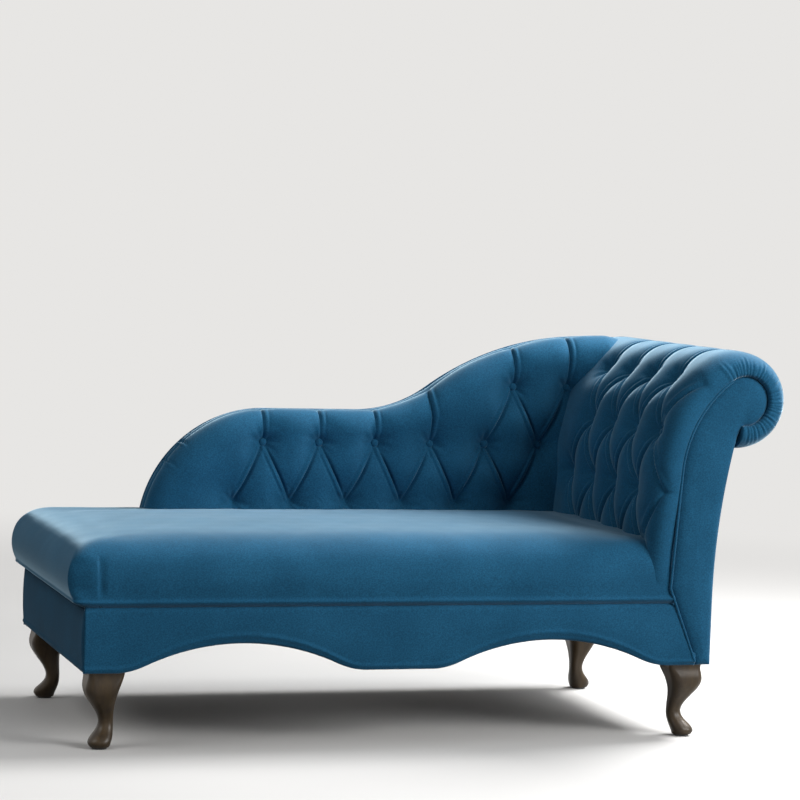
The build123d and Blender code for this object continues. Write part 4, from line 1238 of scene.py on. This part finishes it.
class CHAISE_OT_head(bpy.types.Operator):
    """Tufts the head rest over the roll, with a smooth front border and a gathered roll end"""

    bl_idname = "chaise.head"
    bl_label = "Head rest"

    def execute(self, context):
        shape, tufts, layout, material = dressing(context.scene)
        dimples, buttons, pleats = head_tufts(layout, tufts)
        step = tufts.head_pitch / 2 / tufts.cells
        border = layout.frame_front + tufts.head_first_button - 2 * step
        runs = self.runs(layout, tufts)
        on_roll = smoothstep(runs, layout.roll_run - 0.05, layout.roll_run + 0.06)
        sink = 0.0035 - 0.0045 * smoothstep(runs, 0.12, 0.30) + 0.004 * (1 - smoothstep(runs, 0.034, 0.064))
        columns = []
        for y in np.arange(border, layout.frame_rear - 0.002, step)[::-1]:
            columns.append((0.0, np.full(len(runs), y)))
        for turn in np.linspace(0.0, math.pi / 2, 30)[1:]:
            forward = self.border(turn, on_roll)[0]
            columns.append((turn, border - forward * (border - layout.front - sink)))
        padding = 0.058
        inner_runs = np.linspace(runs[-1], runs[0], 24)
        inner = layout.head(inner_runs, padding)[0]
        inner_front = layout.frame_front + 0.002
        loops = []
        for turn, y in columns:
            inset = self.border(turn, on_roll)[1] * (shape.head_pad - tufts.valley)
            line = self.column(runs, y, inset, turn, layout, tufts, dimples, pleats)
            inner_y = np.maximum(np.interp(inner_runs, runs, line[:, 1]), inner_front)
            loops.append(np.concatenate((line, joined(inner[:, 0], inner_y, inner[:, 1]))))
        tuck = 0.009
        tucked = loops[-1].copy()
        tucked[:len(runs), 1] += tuck
        tucked[:, 1] = np.minimum(tucked[:, 1], inner_front)
        loops.append(tucked)
        covers(loop_solid("tufted_head_rest", loops, material), "head_pad", fill=0.85)
        places, ways = head_face(np.array(buttons), layout, tufts)
        covers(buttons_piece("head_button_covers", places, ways, tufts, material), "head_buttons")
        return {"FINISHED"}

    @staticmethod
    def runs(layout, tufts):
        """Places along the face and round the roll, in steps that meet the buttons on the face."""
        step, roll_step, below = tufts.head_row / tufts.cells, 0.003, 17
        above = int((layout.roll_run - tufts.head_first_row) / step)
        face = tufts.head_first_row + np.arange(-below, above) * step
        return np.concatenate((face, np.arange(face[-1] + roll_step, layout.end_run, roll_step)))

    @staticmethod
    def border(turn, on_roll):
        """Share of the border's way forward and of its way in, rounder on the face than on the roll."""
        power = 0.62 + 0.13 * on_roll
        return math.sin(turn) ** power, 1 - max(math.cos(turn), 0.0) ** power

    @staticmethod
    def column(runs, y, inset, turn, layout, tufts, dimples, pleats):
        """One line of the cloth along the run."""
        share, fold = relief(joined(y, runs), dimples, pleats, tufts, tufts.dimple)
        roll = smoothstep(runs, layout.roll_run - 0.05, layout.roll_run + 0.10)
        crest = tufts.head_crest + (tufts.valley - tufts.head_crest) * roll
        fade = math.cos(turn)
        face_border = (1 - fade) * 0.16 * (1 - roll) * smoothstep(runs, 0.10, 0.30)
        roll_border = crest * (1 - fade) * roll * 0.4
        height = crest * (share * fade + face_border) + fold * fade + roll_border
        line, out = layout.head(runs, tufts.valley + inset)
        pitch, second_pitch, depth = 0.0125, 0.0192, 0.0030
        gather = smoothstep(runs, layout.roll_run - 0.005, layout.roll_run + 0.01)
        warp = runs + 0.004 * np.sin(runs * 61.0) + 0.0022 * np.sin(runs * 143.0 + 1.0)
        wave = np.abs(np.sin(math.pi * warp / pitch)) ** 0.7 - 0.6
        wave += 0.4 * np.sin(2 * math.pi * warp / second_pitch + 0.7) * (0.5 + 0.5 * np.sin(runs * 37.0))
        reach = 0.16 * np.sin(runs * 97.0) + 0.10 * np.sin(runs * 211.0 + 2.0)
        reached = smoothstep(turn, 0.66 + reach, 1.18 + reach)
        push = gather * reached * depth * wave
        edge = bump(runs - layout.roll_run + 0.004, 0.004) * reached * depth
        direction = joined(out[:, 0] * fade, -math.sin(turn), out[:, 1] * fade)
        spots = joined(line[:, 0], y, line[:, 1])
        return spots + direction * (height * (fade > 0.02) + push + edge)[:, None]


class CHAISE_OT_facing(bpy.types.Operator):
    """Covers the front of the head end with its scroll facing and pipes the inner edge"""

    bl_idname = "chaise.facing"
    bl_label = "Scroll facing"

    def execute(self, context):
        shape, _, layout, material = dressing(context.scene)
        heights = np.linspace(layout.hem, shape.facing_knee, 40)
        low = joined(layout.facing_edge(heights), heights)
        knee_run = (shape.facing_knee - layout.seam) / layout.lean[1]
        turn_run = layout.roll_run + layout.radius * (layout.arc_end + FACING_END)
        scroll, ways = layout.head(np.arange(knee_run + 0.016, turn_run, 0.004), shape.head_pad)
        neck_heights = np.linspace(layout.neck[1] - 0.010, layout.hem, 110)
        outer = joined(layout.end_x(neck_heights), neck_heights)
        leave = 0.042 * np.array((ways[-1][1], -ways[-1][0]))
        arrive = np.array((0.014, 0.046))
        neck = bend(scroll[-1], scroll[-1] + leave, outer[0] + arrive, outer[0], 22)
        above_knee = scroll[scroll[:, 1] > shape.facing_knee + 0.004]
        outline = dense(np.concatenate((low, above_knee, neck[1:], outer[1:])), 0.004)
        piece = panel("scroll_facing_cover", outline, layout.front, layout.frame_front + CLEARANCE,
                      puff=0.010, rounding=0.024, drop=0.0085, step=0.007, material=material, seed=31)
        covers(piece, "scroll_facing", fill=0.7)
        runs = np.linspace(knee_run + 0.02, layout.roll_run + 0.002, 90)
        line = np.concatenate((low[2:], layout.head(runs, shape.head_pad)[0]))
        spots = joined(line[:, 0] - 0.001, layout.front - 0.0025, line[:, 1])
        covers(cord("facing_piping_cord", spots, shape.piping, material), "facing_piping")
        return {"FINISHED"}


class CHAISE_OT_outer(bpy.types.Operator):
    """Covers the rear of the chaise and the outer end under the roll"""

    bl_idname = "chaise.outer"
    bl_label = "Outer covers"

    def execute(self, context):
        _, _, layout, material = dressing(context.scene)
        top = layout.back_top()
        within, roll_end = 0.001, math.radians(-100)
        roll = layout.roll + (layout.radius - within) * around(np.linspace(math.pi / 2, roll_end, 100))
        neck_heights = np.linspace(layout.neck[1] - 0.006, layout.hem, 90)
        outer = joined(layout.end_x(neck_heights), neck_heights)
        low = joined((layout.left, layout.left, layout.back_left), (layout.hem, layout.seam, layout.seam))
        outline = dense(np.concatenate((low, top[top[:, 1] > layout.seam + 0.02], roll, outer)), 0.006)
        piece = panel("outer_back_cover", outline, layout.rear, layout.frame_rear,
                      puff=0.004, rounding=0.014, drop=0.009, step=0.014, material=material, seed=41)
        covers(piece, "outer_back", fill=0.7)
        heights = np.linspace(layout.hem, layout.neck[1] + 0.012, 70)
        hem_tuck = 0.004 * np.clip(1 - (heights - layout.hem) / 0.006, 0, 1) ** 2
        thickness = 0.009
        inner_heights = heights[::-5]
        inner = joined(layout.end_x(inner_heights) - thickness, inner_heights)
        loops = []
        for y in np.linspace(layout.frame_front + CLEARANCE, layout.frame_rear - CLEARANCE, 60):
            gap = min(y - layout.frame_front, layout.frame_rear - y)
            padding = 0.004 * (1 - math.exp(-gap / 0.03))
            out = layout.end_x(heights) + padding - within - hem_tuck
            section = np.concatenate((joined(out, heights), inner))
            loops.append(joined(section[:, 0], y, section[:, 1]))
        covers(loop_solid("outer_end_cover", loops, material), "outer_end", fill=0.7)
        return {"FINISHED"}


class CHAISE_OT_wood(bpy.types.Operator):
    """Finishes the legs, the frame, the webbing and the metal"""

    bl_idname = "chaise.wood"
    bl_label = "Wood and hidden parts"

    def execute(self, context):
        finish = context.scene.chaise_finish
        slots = {part["node"]: part["material_slot"] for part in frame["record"]["subparts"]}
        for name, node in frame["nodes"].items():
            node.data.materials.clear()
            node.data.materials.append(slot_material(slots[name], finish))
        return {"FINISHED"}


class CHAISE_OT_stage(bpy.types.Operator):
    """Sets the floor, the lights and the camera"""

    bl_idname = "chaise.stage"
    bl_label = "Studio"

    def execute(self, context):
        scene = context.scene
        stage = scene.chaise_stage
        half = 14.0
        corners = np.array(((-half, -half, 0), (half, -half, 0), (half, half, 0), (-half, half, 0)))
        new_piece("floor", corners, [(0, 1, 2, 3)], self.floor_material(stage))
        self.light("key", stage.key, (2.4, 0.6, 2.9), (0.0, 0.0, 0.4), (1.5, 1.3))
        self.light("fill", stage.fill, (2.9, -3.0, 2.2), (0.3, 0.0, 0.5), (2.4, 2.0))
        self.light("side", stage.side, (-2.8, -0.8, 2.6), (0.0, 0.0, 0.45), (1.8, 1.8))
        self.world(scene, stage)
        self.camera(scene, stage)
        scene.view_settings.view_transform = "Standard"
        return {"FINISHED"}

    @staticmethod
    def camera(scene, stage):
        """Camera at its place, turned to the right, tilted down and rolled."""
        data = bpy.data.cameras.new("camera")
        data.lens = stage.lens
        data.sensor_width = 36.0
        data.clip_end = 60.0
        camera = bpy.data.objects.new("camera", data)
        scene.collection.objects.link(camera)
        level = math.cos(stage.pitch)
        right = Vector((math.cos(stage.yaw), -math.sin(stage.yaw), 0.0))
        ahead = Vector((math.sin(stage.yaw) * level, math.cos(stage.yaw) * level, -math.sin(stage.pitch)))
        turn = Matrix((right, right.cross(ahead), -ahead)).transposed()
        rolled = turn @ Matrix.Rotation(stage.roll, 3, "Z")
        camera.matrix_world = Matrix.Translation(stage.camera) @ rolled.to_4x4()
        scene.camera = camera

    @staticmethod
    def floor_material(stage):
        """Pale floor with a trace of wear, which goes over into the backdrop."""
        material = bpy.data.materials.new("floor")
        material.use_nodes = True
        tree = material.node_tree
        shader = tree.nodes["Principled BSDF"]
        place = object_place(tree)
        wear = remap(tree, noise(tree, place, 1.3, 3.0), 0.3, 0.7)
        tint = mix(tree, wear, shade(stage.floor, 0.86), shade(stage.floor, 0.84))
        feed(tree, shader, {"Base Color": tint, "Roughness": 0.7, "Specular IOR Level": 0.2})
        far = add(tree, "ShaderNodeVectorMath", {0: place}, operation="LENGTH").outputs["Value"]
        backdrop = add(tree, "ShaderNodeEmission", {"Color": shade(stage.floor)}).outputs["Emission"]
        pale = blend_shaders(tree, remap(tree, far, 1.2, 4.5), shader.outputs["BSDF"], backdrop)
        bounce = add(tree, "ShaderNodeBsdfDiffuse", {"Color": shade(stage.bounce)}).outputs["BSDF"]
        whole = blend_shaders(tree, seen_rays(tree), bounce, pale)
        feed(tree, tree.nodes["Material Output"], {"Surface": whole})
        return material

    @staticmethod
    def light(name, power, place, aim, size):
        """Area light that looks at a point."""
        data = bpy.data.lights.new(name, "AREA")
        data.energy = power
        data.shape = "RECTANGLE"
        data.size, data.size_y = size
        lamp = bpy.data.objects.new(name, data)
        bpy.context.scene.collection.objects.link(lamp)
        way = Vector(aim) - Vector(place)
        lamp.matrix_world = Matrix.Translation(place) @ way.to_track_quat("-Z", "Y").to_matrix().to_4x4()

    @staticmethod
    def world(scene, stage):
        """Even light that is stronger from the head side, and a pale backdrop to the camera."""
        world = bpy.data.worlds.new("studio")
        scene.world = world
        world.use_nodes = True
        tree = world.node_tree
        direction = tree.nodes.new("ShaderNodeTexCoord").outputs["Generated"]
        inputs = {0: direction, 1: (0.80, -0.20, 0.56)}
        way = add(tree, "ShaderNodeVectorMath", inputs, operation="DOT_PRODUCT").outputs["Value"]
        strength = remap(tree, way, -0.15, 0.95, 0.08 * stage.sky, stage.sky)
        even = tree.nodes["Background"]
        feed(tree, even, {"Color": (0.95, 0.97, 1.0, 1.0), "Strength": strength})
        seen = add(tree, "ShaderNodeBackground", {"Color": shade(stage.floor)}).outputs["Background"]
        whole = blend_shaders(tree, seen_rays(tree), even.outputs["Background"], seen)
        feed(tree, tree.nodes["World Output"], {"Surface": whole})


class CHAISE_PT_panel(bpy.types.Panel):
    """Settings and steps of the chaise"""

    bl_idname = "CHAISE_PT_panel"
    bl_label = "Chaise Longue"
    bl_space_type = "VIEW_3D"
    bl_region_type = "UI"
    bl_category = "Chaise"

    def draw(self, context):
        for group in SETTINGS:
            settings = getattr(context.scene, group)
            box = self.layout.box()
            for name in settings.__annotations__:
                box.prop(settings, name)
        for step in STEPS:
            self.layout.operator(step.bl_idname)


STEPS = (CHAISE_OT_wood, CHAISE_OT_seat, CHAISE_OT_aprons, CHAISE_OT_back, CHAISE_OT_head, CHAISE_OT_facing,
         CHAISE_OT_outer, CHAISE_OT_stage)
SETTINGS = {"chaise_shape": ChaiseShape, "chaise_tufts": ChaiseTufts, "chaise_finish": ChaiseFinish,
            "chaise_stage": ChaiseStage}
CLASSES = (*SETTINGS.values(), *STEPS, CHAISE_PT_panel)


def register():
    """Registers the settings, the steps and the panel."""
    for kind in CLASSES:
        bpy.utils.register_class(kind)
    for name, kind in SETTINGS.items():
        setattr(bpy.types.Scene, name, PointerProperty(type=kind))


def unregister():
    """Takes the settings, the steps and the panel out again."""
    for name in SETTINGS:
        delattr(bpy.types.Scene, name)
    for kind in reversed(CLASSES):
        bpy.utils.unregister_class(kind)


def main():
    """Dresses the chaise."""
    register()
    bpy.ops.chaise.wood()
    bpy.ops.chaise.seat()
    bpy.ops.chaise.aprons()
    bpy.ops.chaise.back()
    bpy.ops.chaise.head()
    bpy.ops.chaise.facing()
    bpy.ops.chaise.outer()
    bpy.ops.chaise.stage()


if __name__ == "__main__":
    main()
